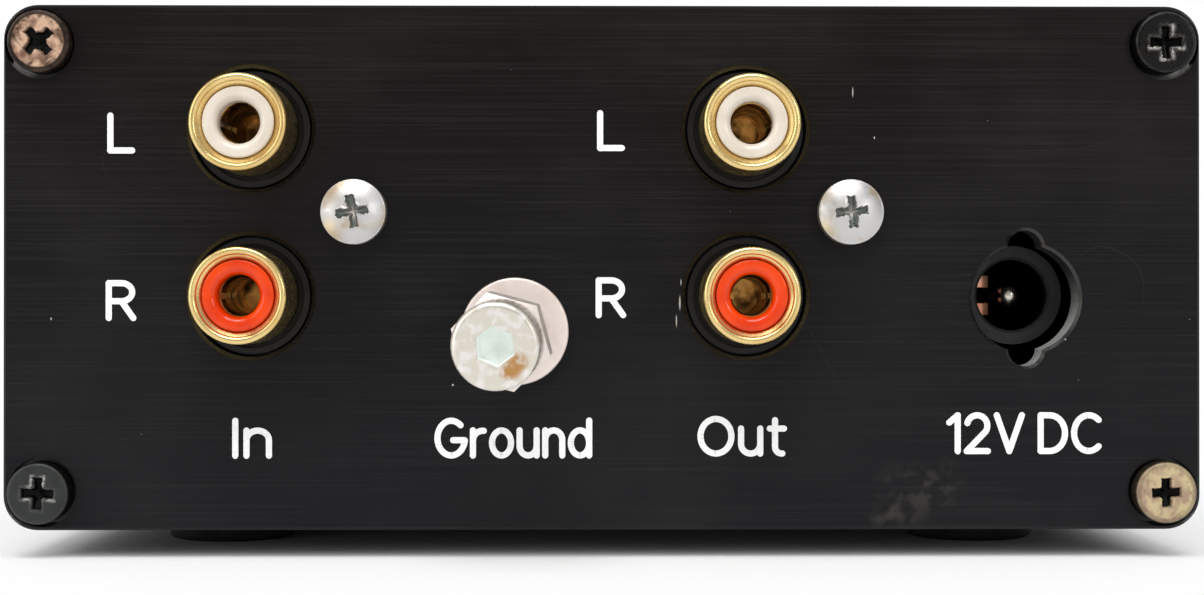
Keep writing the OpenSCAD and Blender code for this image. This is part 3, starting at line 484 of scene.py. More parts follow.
def brushed_grain(name: str) -> bpy.types.NodeTree:
    """Wires drawn-out noise: fine hairlines and wider bands along the axis that Stretch keeps low.

    Args:
        name: The group's name.

    Returns:
        The node group.
    """
    w, given, finish = new_group(name, [("Position", "Vector", None), ("Stretch", "Vector", None)])
    drawn = w.vector("MULTIPLY", given["Position"], given["Stretch"])
    fine = w.noise(drawn, 1.0, 4.0)
    wide = w.noise(w.vector("MULTIPLY", drawn, (0.6, 0.6, 0.13)), 1.0, 2.0)
    return finish(w.math("ADD", w.times(fine, 0.82), w.times(wide, 0.18)))


def dust_specks(name: str) -> bpy.types.NodeTree:
    """Wires small dots: a cell shows its dot where its own random value passes 1 - Amount.

    Args:
        name: The group's name.

    Returns:
        The node group.
    """
    inputs = [("Position", "Vector", None), ("Scale", "Float", 900.0), ("Amount", "Float", 0.1)]
    w, given, finish = new_group(name, inputs)
    cells = w.add("TexVoronoi", {"Vector": given["Position"], "Scale": given["Scale"]})
    chance = w.add("SeparateColor", {0: cells.outputs["Color"]})
    kept = w.math("GREATER_THAN", w.math("ADD", chance.outputs[0], given["Amount"]), 1.0)
    dot = w.math("LESS_THAN", cells.outputs["Distance"], w.times(chance.outputs[1], 0.1))
    return finish(w.times(kept, w.times(dot, chance.outputs[2])))


def hair_scratches(name: str) -> bpy.types.NodeTree:
    """Wires thin bent lines: they lie where a drawn-out noise passes its middle value.

    Args:
        name: The group's name.

    Returns:
        The node group.
    """
    inputs = [("Position", "Vector", None), ("Scale", "Float", 60.0), ("Width", "Float", 0.004)]
    w, given, finish = new_group(name, inputs)
    field = w.add("TexNoise", {"Vector": given["Position"], "Scale": given["Scale"], "Detail": 1.0})
    off = w.math("ABSOLUTE", w.less(field.outputs["Fac"], 0.5))
    line = w.math("LESS_THAN", off, given["Width"])
    broken = w.noise(given["Position"], 3.0 * math.tau, 2.0)
    return finish(w.times(line, w.ease(broken, 0.6, 0.72)))


def stain_patches(name: str) -> bpy.types.NodeTree:
    """Wires cloudy patches: noise that passes Level, with an edge as soft as Softness.

    Args:
        name: The group's name.

    Returns:
        The node group.
    """
    inputs = [
        ("Position", "Vector", None), ("Scale", "Float", 400.0),
        ("Level", "Float", 0.55), ("Softness", "Float", 0.1),
    ]
    w, given, finish = new_group(name, inputs)
    cloud = w.add("TexNoise", {"Vector": given["Position"], "Scale": given["Scale"], "Detail": 5.0})
    over = w.less(cloud.outputs["Fac"], given["Level"])
    return finish(w.clamped(w.math("DIVIDE", over, given["Softness"])))


def box_edge_wear(name: str) -> bpy.types.NodeTree:
    """Wires wear along a long box's four edges.

    The distances in from the outline are the half width less |x| and the half height less |z|.
    The greater one is small only along those edges; the mask grows towards 0 distance and is
    broken up by noise.

    Args:
        name: The group's name.

    Returns:
        The node group.
    """
    inputs = [
        ("Position", "Vector", None), ("Half Width", "Float", 0.05),
        ("Half Height", "Float", 0.02), ("Reach", "Float", 0.002),
    ]
    w, given, finish = new_group(name, inputs)
    x, _, z = w.axes(given["Position"])
    side = w.less(given["Half Width"], w.math("ABSOLUTE", x))
    flat = w.less(given["Half Height"], w.math("ABSOLUTE", z))
    share = w.math("DIVIDE", w.math("MAXIMUM", side, flat), given["Reach"])
    broken = w.ease(w.noise(given["Position"], 900.0, 5.0), 0.46, 0.66)
    return finish(w.times(w.less(1.0, w.clamped(share)), broken))


def local_smudge(name: str) -> bpy.types.NodeTree:
    """Wires one cloudy mark: noise inside a ball of radius Reach round Centre.

    Args:
        name: The group's name.

    Returns:
        The node group.
    """
    inputs = [("Position", "Vector", None), ("Centre", "Vector", None), ("Reach", "Float", 0.004)]
    w, given, finish = new_group(name, inputs)
    away = w.vector("DISTANCE", given["Position"], given["Centre"])
    inside = w.less(1.0, w.clamped(w.math("DIVIDE", away, given["Reach"])))
    cloud = w.ease(w.noise(given["Position"], 700.0, 6.0), 0.42, 0.62)
    return finish(w.times(inside, cloud))


EFFECT_MAKERS: dict[Effect, Callable[[str], bpy.types.NodeTree]] = {
    Effect.BRUSHED_GRAIN: brushed_grain,
    Effect.DUST_SPECKS: dust_specks,
    Effect.HAIR_SCRATCHES: hair_scratches,
    Effect.STAIN_PATCHES: stain_patches,
    Effect.BOX_EDGE_WEAR: box_edge_wear,
    Effect.LOCAL_SMUDGE: local_smudge,
}


@dataclass(frozen=True)
class Finish:
    """A surface finish. A subclass wires its own colour, roughness and relief."""

    name: str

    def material(self) -> bpy.types.Material:
        """Returns the finish as a material, made the first time it is asked for.

        Returns:
            The material.
        """
        label = f"finish_{self.name}"
        made = bpy.data.materials.get(label)
        if made is None:
            made = bpy.data.materials.new(label)
            made.use_nodes = True
            made.node_tree.nodes.clear()
            w = Wiring(made.node_tree)
            surface = self.shade(w, w.add("TexCoord").outputs["Object"])
            w.add("OutputMaterial", {0: surface})
        return made

    def shade(self, w: Wiring, at: bpy.types.NodeSocket) -> bpy.types.NodeSocket:
        """Wires the shader.

        Args:
            w: Wiring of the material's node tree.
            at: The surface's place in the frame, in metres.

        Returns:
            The shader's output.
        """
        raise NotImplementedError


class Brushing(Enum):
    """Direction of the hairlines, as the stretch of the grain's noise along X, Y and Z."""

    ALONG_X = (45.0, 3000.0, 5200.0)
    ALONG_Y = (4200.0, 45.0, 4200.0)


@dataclass(frozen=True)
class Mark:
    """A small mark on a surface, round or drawn out along Z."""

    centre: tuple[float, float, float]
    reach: float
    tall: float = 1.0

    def mask(self, w: Wiring, at: bpy.types.NodeSocket) -> bpy.types.NodeSocket:
        """Wires a mask that is 1 at the mark's centre and 0 past its reach."""
        off = w.vector("MULTIPLY", w.vector("SUBTRACT", at, self.centre), (1, 1, 1 / self.tall))
        return w.ease(w.vector("LENGTH", off, (0, 0, 0)), 0.4 * self.reach, self.reach, 1.0, 0.0)


@dataclass(frozen=True)
class Anodised(Finish):
    """Black anodised and brushed aluminium, with painted light: darker and browner above, lighter and bluer
    below.

    A plate says where its outer face lies; behind that face are the walls of its holes.
    """

    brushing: Brushing = Brushing.ALONG_X
    # upper and lower are painted light: the black darker and browner at the top, lighter and bluer at the
    # bottom
    upper: tuple = tone(13, 9, 8)
    lower: tuple = tone(20, 20, 23)
    hairline: tuple = tone(66, 63, 62)
    bare: tuple = tone(176, 174, 170)
    smudge: tuple = tone(116, 108, 98)
    dust: tuple = tone(150, 148, 146)
    wall: tuple[tuple, tuple] = (tone(24, 24, 24), tone(40, 40, 40))
    # pale wall colour: bare aluminium brightened as painted light where light falls on the power hole's
    # lower wall
    painted_lit_bare_wall: tuple[tuple, tuple] = (tone(136, 138, 136), tone(176, 178, 174))
    fade_reach: float = 0.022
    hairline_share: float = 0.11
    cloud_share: float = 0.09
    smudge_share: float = 0.16
    dust_share: float = 0.5
    scratch_share: float = 0.1
    edge_share: float = 0.08
    edge_reach: float = 0.0018
    rough: tuple[float, float] = (0.34, 0.48)
    dust_rough: float = 0.3
    specular: float = 0.13
    relief: float = 0.00002
    bevel_depth: float = 0.00002
    bevel_polish: float = 0.18
    bevel_specular: float = 0.5
    wall_depth: float = 0.00031
    wall_rough: float = 0.34
    wall_specular: float = 0.5
    outline: float = 0.0006
    face_y: float | None = None
    smudges: tuple[Mark, ...] = ()
    nicks: tuple[Mark, ...] = ()
    wall_marks: tuple[Mark, ...] = ()
    painted_lit_bare_walls: tuple[Mark, ...] = ()

    def shade(self, w: Wiring, at: bpy.types.NodeSocket) -> bpy.types.NodeSocket:
        """Wires the skin, polished on a plate's bevels, and the bare look of its holes' walls.

        Args:
            w: The material's wiring.
            at: The surface's place in the frame, in metres.

        Returns:
            The shader's output.
        """
        centred = w.vector("SUBTRACT", at, (0, 0, MID_Z * MM))
        grain = w.group(Effect.BRUSHED_GRAIN.tree(), {"Position": at, "Stretch": self.brushing.value})
        dust = w.group(Effect.DUST_SPECKS.tree(), {"Position": at, "Scale": 620.0, "Amount": 0.12})
        skin = self.skin(w, at, w.axes(centred)[2], grain, dust)
        rough = w.math("ADD", w.ease(grain, *NOISE_SPAN, *self.rough), w.times(dust, self.dust_rough))
        feeds = {
            "Base Color": w.blend(self.bareness(w, at, centred), skin, self.bare),
            "Roughness": rough, "Specular IOR Level": self.specular,
            "Normal": w.bump(grain, self.relief, 0.4),
        }
        if self.face_y is None:
            return w.principled(feeds)
        bevel, wall = (self.behind(w, centred, depth) for depth in (self.bevel_depth, self.wall_depth))
        feeds["Roughness"] = w.less(rough, w.times(bevel, self.bevel_polish))
        feeds["Specular IOR Level"] = w.math("ADD", self.specular, w.times(bevel, self.bevel_specular))
        shaders = {0: wall, 1: w.principled(feeds), 2: self.hole_wall(w, at, grain)}
        return w.add("MixShader", shaders).outputs[0]

    def skin(
        self, w: Wiring, at: bpy.types.NodeSocket, height: bpy.types.NodeSocket,
        grain: bpy.types.NodeSocket, dust: bpy.types.NodeSocket,
    ) -> bpy.types.NodeSocket:
        """Wires the black itself: two tones by height as painted light, hairlines, clouds, smudges and dust.

        Args:
            w: Wiring of the material's node tree.
            at: The surface's place in the frame, in metres.
            height: Height above the case's middle.
            grain: The brushing's hairlines.
            dust: Mask of the dust.

        Returns:
            The colour.
        """
        # painted light: the lower tone at the bottom fades into the upper tone at the top
        colour = w.blend(w.ease(height, -self.fade_reach, self.fade_reach), self.lower, self.upper)
        colour = w.blend(w.ease(grain, 0.46, 0.7, 0.0, self.hairline_share), colour, self.hairline)
        cloud = w.ease(w.noise(at, 70.0, 6.0), 0.4, 0.75, 0.0, self.cloud_share)
        colour = w.blend(cloud, colour, self.hairline)
        for smudge in self.smudges:
            feeds = {"Position": at, "Centre": smudge.centre, "Reach": smudge.reach}
            mark = w.group(Effect.LOCAL_SMUDGE.tree(), feeds)
            colour = w.blend(w.times(mark, self.smudge_share), colour, self.smudge)
        return w.blend(w.times(dust, self.dust_share), colour, self.dust)

    def bareness(
        self, w: Wiring, at: bpy.types.NodeSocket, centred: bpy.types.NodeSocket
    ) -> bpy.types.NodeSocket:
        """Wires where the black is worn through: rare scratches, the long edges and the nicks.

        Args:
            w: The material's wiring.
            at: The surface's place in the frame, in metres.
            centred: The surface's place from the case's axis.

        Returns:
            A mask that is 1 where metal shows.
        """
        scratch = w.group(Effect.HAIR_SCRATCHES.tree(), {"Position": at, "Scale": 55.0, "Width": 0.0009})
        worn = w.group(
            Effect.BOX_EDGE_WEAR.tree(),
            {"Position": centred, "Half Width": HALF_CASE[0], "Half Height": HALF_CASE[1],
             "Reach": self.edge_reach},
        )
        bare = w.math("MAXIMUM", w.times(scratch, self.scratch_share), w.times(worn, self.edge_share))
        for nick in self.nicks:
            bare = w.math("MAXIMUM", bare, nick.mask(w, at))
        return bare

    def hole_wall(
        self, w: Wiring, at: bpy.types.NodeSocket, grain: bpy.types.NodeSocket
    ) -> bpy.types.NodeSocket:
        """Wires the shader of the holes' walls: dark, bare metal painted pale as painted light round the
        power hole's lower right, and bare in others.

        Args:
            w: The material's wiring.
            at: The surface's place in the frame, in metres.
            grain: The brushing's hairlines.

        Returns:
            The shader's output.
        """
        colour = w.blend(grain, *self.wall)
        # painted light: the power hole's lower right wall painted pale, as if lit
        for mark in self.painted_lit_bare_walls:
            colour = w.blend(mark.mask(w, at), colour, w.blend(grain, *self.painted_lit_bare_wall))
        for mark in self.wall_marks:
            colour = w.blend(mark.mask(w, at), colour, self.bare)
        return w.principled(
            {"Base Color": colour, "Roughness": self.wall_rough, "Specular IOR Level": self.wall_specular}
        )

    def behind(self, w: Wiring, centred: bpy.types.NodeSocket, depth: float) -> bpy.types.NodeSocket:
        """Wires where a plate was cut: further behind its face than depth, in from its outline.

        Args:
            w: Wiring of the material's node tree.
            centred: The surface's place from the case's axis.
            depth: Distance behind the outer face, in metres.

        Returns:
            A mask that is 1 on the cut surface.
        """
        x, y, z = w.axes(centred)
        past = w.ease(w.less(y, self.face_y), depth, depth + 2 * self.bevel_depth)
        side = w.less(HALF_CASE[0] - self.outline, w.math("ABSOLUTE", x))
        flat = w.less(HALF_CASE[1] - self.outline, w.math("ABSOLUTE", z))
        return w.times(past, w.math("GREATER_THAN", w.math("MINIMUM", side, flat), 0.0))


@dataclass(frozen=True)
class Plated(Finish):
    """Plated or bare metal with stains, fine scratches and an uneven gloss.

    With a recess colour, the mesh's grime_and_painted_light attribute paints its recesses: soiling with
    painted shade in a cross recess, near white painted light in the cap screw's socket.
    """

    colour: tuple
    stain: tuple
    rough: tuple[float, float] = (0.2, 0.34)
    level: float = 0.55
    stain_share: float = 0.7
    stain_scale: float = 420.0
    relief: float = 0.00001
    metal: float = 1.0
    # recess colour: soiling with painted shade in a cross recess, near white painted light in the cap's hex
    # socket
    grime_and_painted_light: tuple | None = None
    grime_dulls: float = 0.85
    stain_rough: float = 0.05
    spots: tuple[Mark, ...] = ()
    spot_colour: tuple = tone(150, 104, 48)

    def shade(self, w: Wiring, at: bpy.types.NodeSocket) -> bpy.types.NodeSocket:
        """Wires stains, spots and the recess colour (soiling with painted light) into the colour, and
        scratches and cloud into the gloss.

        Args:
            w: The material's wiring.
            at: The surface's place in the frame, in metres.

        Returns:
            The shader's output.
        """
        feeds = {"Position": at, "Scale": self.stain_scale, "Level": self.level, "Softness": 0.12}
        patch = w.group(Effect.STAIN_PATCHES.tree(), feeds)
        scratch = w.group(Effect.HAIR_SCRATCHES.tree(), {"Position": at, "Scale": 260.0, "Width": 0.006})
        cloud = w.noise(at, 1500.0, 4.0)
        colour = w.blend(w.times(patch, self.stain_share), self.colour, self.stain)
        for spot in self.spots:
            mark = w.times(spot.mask(w, at), w.ease(w.noise(at, 900.0, 4.0), 0.3, 0.55))
            colour = w.blend(mark, colour, self.spot_colour)
        metal: object = self.metal
        # recess colour by the mesh's mask: soiling with painted shade on the zinc screws, painted light in
        # the cap's socket
        if self.grime_and_painted_light:
            deep = w.mark("grime_and_painted_light")
            colour = w.blend(deep, colour, self.grime_and_painted_light)
            metal = w.less(self.metal, w.times(deep, self.grime_dulls))
        rough = w.math("ADD", w.ease(cloud, *NOISE_SPAN, *self.rough), w.times(patch, self.stain_rough))
        relief = w.bump(w.less(cloud, w.times(scratch, 0.5)), self.relief, 0.6)
        return w.principled({"Base Color": colour, "Metallic": metal, "Roughness": rough, "Normal": relief})


@dataclass(frozen=True)
class ScrewSteel(Finish):
    """Screw head whose skin is mottled and worn: the mesh's wear attribute shows bare metal."""

    skin: tuple
    mottle: tuple
    bare: tuple
    mottle_level: float = 0.5
    skin_metal: float = 0.0
    rough: tuple[float, float] = (0.3, 0.5)
    # near black in the recess: soiling with painted shade; also the painted shade on the head's side
    grime_and_painted_light: tuple = tone(11, 10, 9)
    specular: float = 0.35
    mottle_share: float = 0.9
    grime_dulls: float = 0.7

    def shade(self, w: Wiring, at: bpy.types.NodeSocket) -> bpy.types.NodeSocket:
        """Wires mottling over the skin, bare metal where it is worn, and near black from the mesh's mask:
        soiling with painted shade in the recess, painted shade on the side, darkening round the rim.

        Args:
            w: The material's wiring.
            at: The surface's place in the frame, in metres.

        Returns:
            The shader's output.
        """
        deep = w.mark("grime_and_painted_light")
        feeds = {"Position": at, "Scale": 900.0, "Level": self.mottle_level, "Softness": 0.16}
        patch = w.group(Effect.STAIN_PATCHES.tree(), feeds)
        fine = w.noise(at, 4200.0, 5.0)
        worn = w.times(w.mark("wear"), w.ease(fine, 0.3, 0.55))
        colour = w.blend(w.times(patch, self.mottle_share), self.skin, self.mottle)
        # the mesh's mask paints the near black: soiling with painted shade in the recess and painted shade
        # on the side
        colour = w.blend(deep, w.blend(worn, colour, self.bare), self.grime_and_painted_light)
        metal = w.times(w.math("MAXIMUM", worn, self.skin_metal), w.less(1.0, deep))
        shine = w.times(self.specular, w.less(1.0, w.times(deep, self.grime_dulls)))
        return w.principled(
            {"Base Color": colour, "Metallic": metal, "Roughness": w.ease(fine, *NOISE_SPAN, *self.rough),
             "Specular IOR Level": shine, "Normal": w.bump(fine, 0.00003, 0.5)}
        )


@dataclass(frozen=True)
class Moulded(Finish):
    """Moulded plastic, rubber, lacquer or epoxy with a fine skin and a little dust.

    A deep moulding says from which depth on its colour turns to painted shade, near black.
    """

    colour: tuple
    shade_to: tuple
    rough: tuple[float, float] = (0.35, 0.5)
    grain: float = 3000.0
    relief: float = 0.00002
    dust: float = 0.05
    specular: float = 0.4
    # painted shade: past this depth the colour goes to the dark tone and the shine fades
    painted_shade_from: float | None = None
    painted_shade_within: float = 0.0014
    dark: tuple = tone(4, 4, 4)
    dust_share: float = 0.4
    dust_colour: tuple = tone(150, 146, 140)

    def shade(self, w: Wiring, at: bpy.types.NodeSocket) -> bpy.types.NodeSocket:
        """Wires a faint cloud into the colour, dust over it, painted shade past a deep moulding's depth, and
        a fine skin into the relief.

        Args:
            w: The material's wiring.
            at: The surface's place in the frame, in metres.

        Returns:
            The shader's output.
        """
        cloud = w.ease(w.noise(at, 350.0, 4.0), 0.35, 0.7)
        skin = w.noise(at, self.grain, 3.0)
        specks = w.group(Effect.DUST_SPECKS.tree(), {"Position": at, "Scale": 1400.0, "Amount": self.dust})
        colour = w.blend(cloud, self.colour, self.shade_to)
        colour = w.blend(w.times(specks, self.dust_share), colour, self.dust_colour)
        shine: object = self.specular
        if self.painted_shade_from is not None:
            painted_shade_share = w.ease(w.axes(at)[1], self.painted_shade_from, self.painted_shade_from + self.painted_shade_within)
            colour = w.blend(painted_shade_share, colour, self.dark)
            shine = w.times(self.specular, w.less(1.0, painted_shade_share))
        return w.principled(
            {"Base Color": colour, "Roughness": w.ease(skin, *NOISE_SPAN, *self.rough),
             "Specular IOR Level": shine, "Normal": w.bump(skin, self.relief, 0.5)}
        )


@dataclass(frozen=True)
class Laminate(Finish):
    """Green circuit board: lacquer over copper tracks."""

    lacquer: tuple = tone(18, 74, 46)
    track: tuple = tone(30, 104, 62)

    def shade(self, w: Wiring, at: bpy.types.NodeSocket) -> bpy.types.NodeSocket:
        """Wires tracks as the borders of square cells, a little proud of the lacquer.

        Args:
            w: The material's wiring.
            at: The surface's place in the frame, in metres.

        Returns:
            The shader's output.
        """
        cells = w.add("TexVoronoi", {"Vector": at, "Scale": 260.0}, distance="CHEBYCHEV")
        track = w.ease(cells.outputs["Distance"], 0.42, 0.46)
        weave = w.noise(at, 2600.0, 2.0)
        relief = w.bump(w.math("ADD", track, w.times(weave, 0.2)), 0.00004, 0.6)
        return w.principled(
            {"Base Color": w.blend(track, self.lacquer, self.track),
             "Roughness": w.ease(weave, *NOISE_SPAN, 0.25, 0.4), "Normal": relief}
        )


@dataclass(frozen=True)
class Lens(Finish):
    """Tinted, slightly cloudy lamp body."""

    colour: tuple = tone(120, 205, 120)
    cloudy: tuple = tone(90, 180, 96)

    def shade(self, w: Wiring, at: bpy.types.NodeSocket) -> bpy.types.NodeSocket:
        """Wires a tinted clear body whose gloss varies a little.

        Args:
            w: The material's wiring.
            at: The surface's place in the frame, in metres.

        Returns:
            The shader's output.
        """
        cloud = w.noise(at, 1200.0, 3.0)
        return w.principled(
            {"Base Color": w.blend(w.ease(cloud, *NOISE_SPAN, 0.0, 0.3), self.colour, self.cloudy),
             "Roughness": w.ease(cloud, *NOISE_SPAN, 0.12, 0.25), "Transmission Weight": 0.6, "IOR": 1.5}
        )


@dataclass(frozen=True)
class PrintedInk(Finish):
    """White screen-printed ink, thin in places."""

    colour: tuple = tone(246, 246, 246)
    thin_colour: tuple = tone(196, 196, 196)

    def shade(self, w: Wiring, at: bpy.types.NodeSocket) -> bpy.types.NodeSocket:
        """Wires thin places as a greyer white over a fine print grain.

        Args:
            w: The material's wiring.
            at: The surface's place in the frame, in metres.

        Returns:
            The shader's output.
        """
        thin = w.ease(w.noise(at, 1900.0, 4.0), 0.55, 0.78, 0.0, 0.3)
        grain = w.noise(at, 5200.0, 2.0)
        return w.principled(
            {"Base Color": w.blend(thin, self.colour, self.thin_colour),
             "Roughness": w.ease(grain, *NOISE_SPAN, 0.5, 0.7), "Normal": w.bump(grain, 0.00001, 0.5)}
        )


HALF_CASE = tuple(
    float(high - low) / 2 * MM for low, high in zip(*(c[[0, 2]] for c in node_box("rear_plate")))
)


def plate_mark(x: float, z: float, reach: float, tall: float = 1.0, depth: float = 0.0) -> Mark:
    """Returns a mark on the rear plate, from its place and reach in millimetres.

    Args:
        x: Place to the right.
        z: Height.
        reach: Radius of the mark.
        tall: How many times taller than wide it is.
        depth: How far behind the plate's outer face it lies.
    """
    return Mark((x * MM, (REAR_Y + depth) * MM, z * MM), reach * MM, tall)


REAR_SMUDGES = (plate_mark(26.5, 5.2, 3.6), plate_mark(29.5, 6.6, 2.6), plate_mark(24.6, 4.0, 1.8))
REAR_NICKS = (
    plate_mark(6.7, 22.4, 0.1, 8.0), plate_mark(6.4, 20.8, 0.07, 10.0), plate_mark(6.8, 24.2, 0.06, 6.0),
    plate_mark(-48.3, 21.0, 0.08, 2.0), plate_mark(21.9, 40.9, 0.07, 8.0), plate_mark(23.8, 36.9, 0.08, 2.0),
    plate_mark(-13.2, 15.2, 0.12), plate_mark(40.6, 19.2, 0.1),
)
WALL_MARKS = (plate_mark(-51.4, 43.1, 2.0, 1.0, 0.6), plate_mark(51.5, 43.1, 2.0, 1.0, 0.6))
DC_X, _, DC_Z = node_middle("dc_jack_housing")

REAR_ANODISED = Anodised(
    "rear_anodised", face_y=REAR_Y * MM, smudges=REAR_SMUDGES, nicks=REAR_NICKS, wall_marks=WALL_MARKS,
    # painted light: the power hole's lower right wall painted pale, bare metal lit from above
    painted_lit_bare_walls=(plate_mark(DC_X + 2.2, DC_Z - 5.6, 9.5, 1.0, 1.5),),
)
FRONT_ANODISED = Anodised("front_anodised")
SLEEVE_ANODISED = Anodised("sleeve_anodised", Brushing.ALONG_Y)
POST_HEAD = on_joint("clamp_turn").shifted(z=16.2)
CAP_SPOTS = (
    Mark(tuple(POST_HEAD.put(np.array([1.95, -1.2, 0.0])) * MM), 0.0010),
    Mark(tuple(POST_HEAD.put(np.array([1.45, -1.75, 0.0])) * MM), 0.0011),
    Mark(tuple(POST_HEAD.put(np.array([0.95, -2.15, 0.0])) * MM), 0.0008),
)
GOLD = Plated(
    "phono_gold", tone(238, 210, 144), tone(214, 174, 104), (0.22, 0.3), 0.52, 0.5, 260.0, 0.000002
)
CONTACT_GOLD = Plated(
    "contact_gold", tone(226, 176, 98), tone(40, 24, 11), (0.25, 0.4), 0.47, 0.92, 320.0, 0.000004
)
ZINC = Plated(
    "bright_zinc", tone(208, 206, 205), tone(188, 166, 136), (0.36, 0.5), 0.54, 0.7, relief=0.000006,
    # greenish grey in the cross recess: soiling with painted shade
    grime_and_painted_light=tone(112, 120, 113),
)
NUT_ZINC = Plated("nut_zinc", tone(236, 226, 220), tone(214, 200, 192), (0.42, 0.56), 0.5, 0.5, metal=0.7)
CAP_ZINC = Plated(
    "cap_zinc", tone(224, 218, 205), tone(244, 238, 237), (0.28, 0.44), 0.5, 0.8, 1100.0, metal=0.8,
    # near white in the hex socket: painted light
    grime_and_painted_light=tone(244, 250, 246), spots=CAP_SPOTS, spot_colour=tone(190, 142, 84),
)
WASHER_ZINC = Plated(
    "washer_zinc", tone(240, 227, 220), tone(228, 210, 202), (0.34, 0.5), 0.5, 0.5, metal=0.5
)
NICKEL = Plated("nickel", tone(214, 208, 198), tone(170, 158, 140), (0.15, 0.28), 0.58, 0.4)
COPPER = Plated("leaf_copper", tone(250, 186, 150), tone(214, 128, 86), (0.3, 0.44), 0.5, 0.6, metal=0.6)
TIN = Plated("tinned_brass", tone(206, 202, 190), tone(176, 160, 118), (0.3, 0.45), 0.5, 0.6)
CHROME = Plated("lamp_chrome", tone(214, 216, 220), tone(190, 190, 192), (0.08, 0.18), 0.6, 0.3)
DARK_ALUMINIUM = Plated("dark_aluminium", tone(62, 62, 66), tone(44, 44, 46), (0.3, 0.45), 0.5, 0.5)
WORN_TAN = ScrewSteel(
    "worn_tan_steel", tone(206, 170, 144), tone(104, 72, 54), tone(226, 206, 190), 0.42, 0.4, (0.4, 0.6)
)
WORN_KHAKI = ScrewSteel(
    "worn_khaki_steel", tone(198, 180, 140), tone(164, 136, 118), tone(206, 190, 164), 0.42, 0.4, (0.4, 0.6)
)
BLACK_STEEL = ScrewSteel(
    "blackened_steel", tone(9, 7, 6), tone(15, 12, 11), tone(176, 172, 166), 0.55, 0.0, (0.2, 0.32),
    specular=0.2,
)
SATIN_STEEL = ScrewSteel(
    "satin_steel", tone(38, 41, 39), tone(30, 32, 31), tone(160, 158, 154), 0.52, 0.0, (0.34, 0.5)
)
WHITE_NYLON = Moulded(
    "white_insulator", tone(224, 214, 200), tone(212, 200, 184), (0.12, 0.22), dust=0.02, specular=0.6
)
RED_NYLON = Moulded("red_insulator", tone(232, 66, 0), tone(214, 50, 0), (0.1, 0.2), dust=0.02, specular=0.4)
HOUSING_BLACK = Moulded("connector_black", tone(16, 16, 16), tone(22, 22, 22), (0.3, 0.46), specular=0.25)
SOCKET_GREY = Moulded(
    "socket_black", tone(43, 43, 42), tone(36, 35, 35), (0.38, 0.55), specular=0.35,
    # painted shade: the bore turns near black from 0.3 mm behind the housing's front
    painted_shade_from=float(node_box("dc_jack_housing")[0][1] + 0.3) * MM,
)
RUBBER = Moulded("foot_rubber", tone(26, 26, 27), tone(38, 37, 36), (0.7, 0.85), 2200.0, 0.00006, 0.12)
WIRE_GREEN = Moulded("wire_green", tone(36, 128, 62), tone(30, 112, 54), (0.3, 0.42))
CHIP_BLACK = Moulded("chip_epoxy", tone(34, 34, 36), tone(42, 42, 44), (0.5, 0.66), 5200.0)
SOCKET_BLACK = Moulded("chip_socket", tone(24, 24, 25), tone(30, 30, 31), (0.35, 0.5))
FILM_RED = Moulded("film_capacitor", tone(178, 50, 40), tone(160, 42, 34), (0.22, 0.34))
FILM_YELLOW = Moulded("coupling_capacitor", tone(206, 170, 62), tone(190, 152, 50), (0.25, 0.38))
CAN_SLEEVE = Moulded("capacitor_sleeve", tone(32, 40, 78), tone(28, 34, 66), (0.2, 0.34))
RESISTOR_BLUE = Moulded("resistor_lacquer", tone(112, 150, 184), tone(98, 134, 168), (0.25, 0.4))
CHOKE_SLEEVE = Moulded("choke_sleeve", tone(46, 46, 50), tone(36, 36, 40), (0.25, 0.4))
DIODE_BLACK = Moulded("diode_epoxy", tone(26, 26, 27), tone(34, 34, 35), (0.35, 0.5))
CONVERTER_BLACK = Moulded("converter_case", tone(24, 24, 26), tone(30, 30, 32), (0.35, 0.5))
BOARD_GREEN = Laminate("board_laminate")
LAMP_GREEN = Lens("lamp_green")
LEGEND_WHITE = PrintedInk("legend_white")

CAD_FINISHES: dict[str, Finish] = {
    "sleeve": SLEEVE_ANODISED,
    "rear_plate": REAR_ANODISED,
    "front_plate": FRONT_ANODISED,
    "rca_in_housing": HOUSING_BLACK,
    "rca_out_housing": HOUSING_BLACK,
    "dc_jack_housing": SOCKET_GREY,
    "dc_leaf_tag": COPPER,
    "ground_solder_lug": TIN,
    "circuit_board": BOARD_GREEN,
    "op_amps": CHIP_BLACK,
    "op_amp_sockets": SOCKET_BLACK,
    "filter_capacitors": FILM_RED,
    "supply_capacitors": CAN_SLEEVE,
    "coupling_capacitors": FILM_YELLOW,
    "resistors": RESISTOR_BLUE,
    "voltage_regulator": CHIP_BLACK,
    "regulator_heat_sink": DARK_ALUMINIUM,
    "supply_choke": CHOKE_SLEEVE,
    "reverse_diode": DIODE_BLACK,
    "power_converter": CONVERTER_BLACK,
}


# ---- Pieces ---------------------------------------------------------------------------------


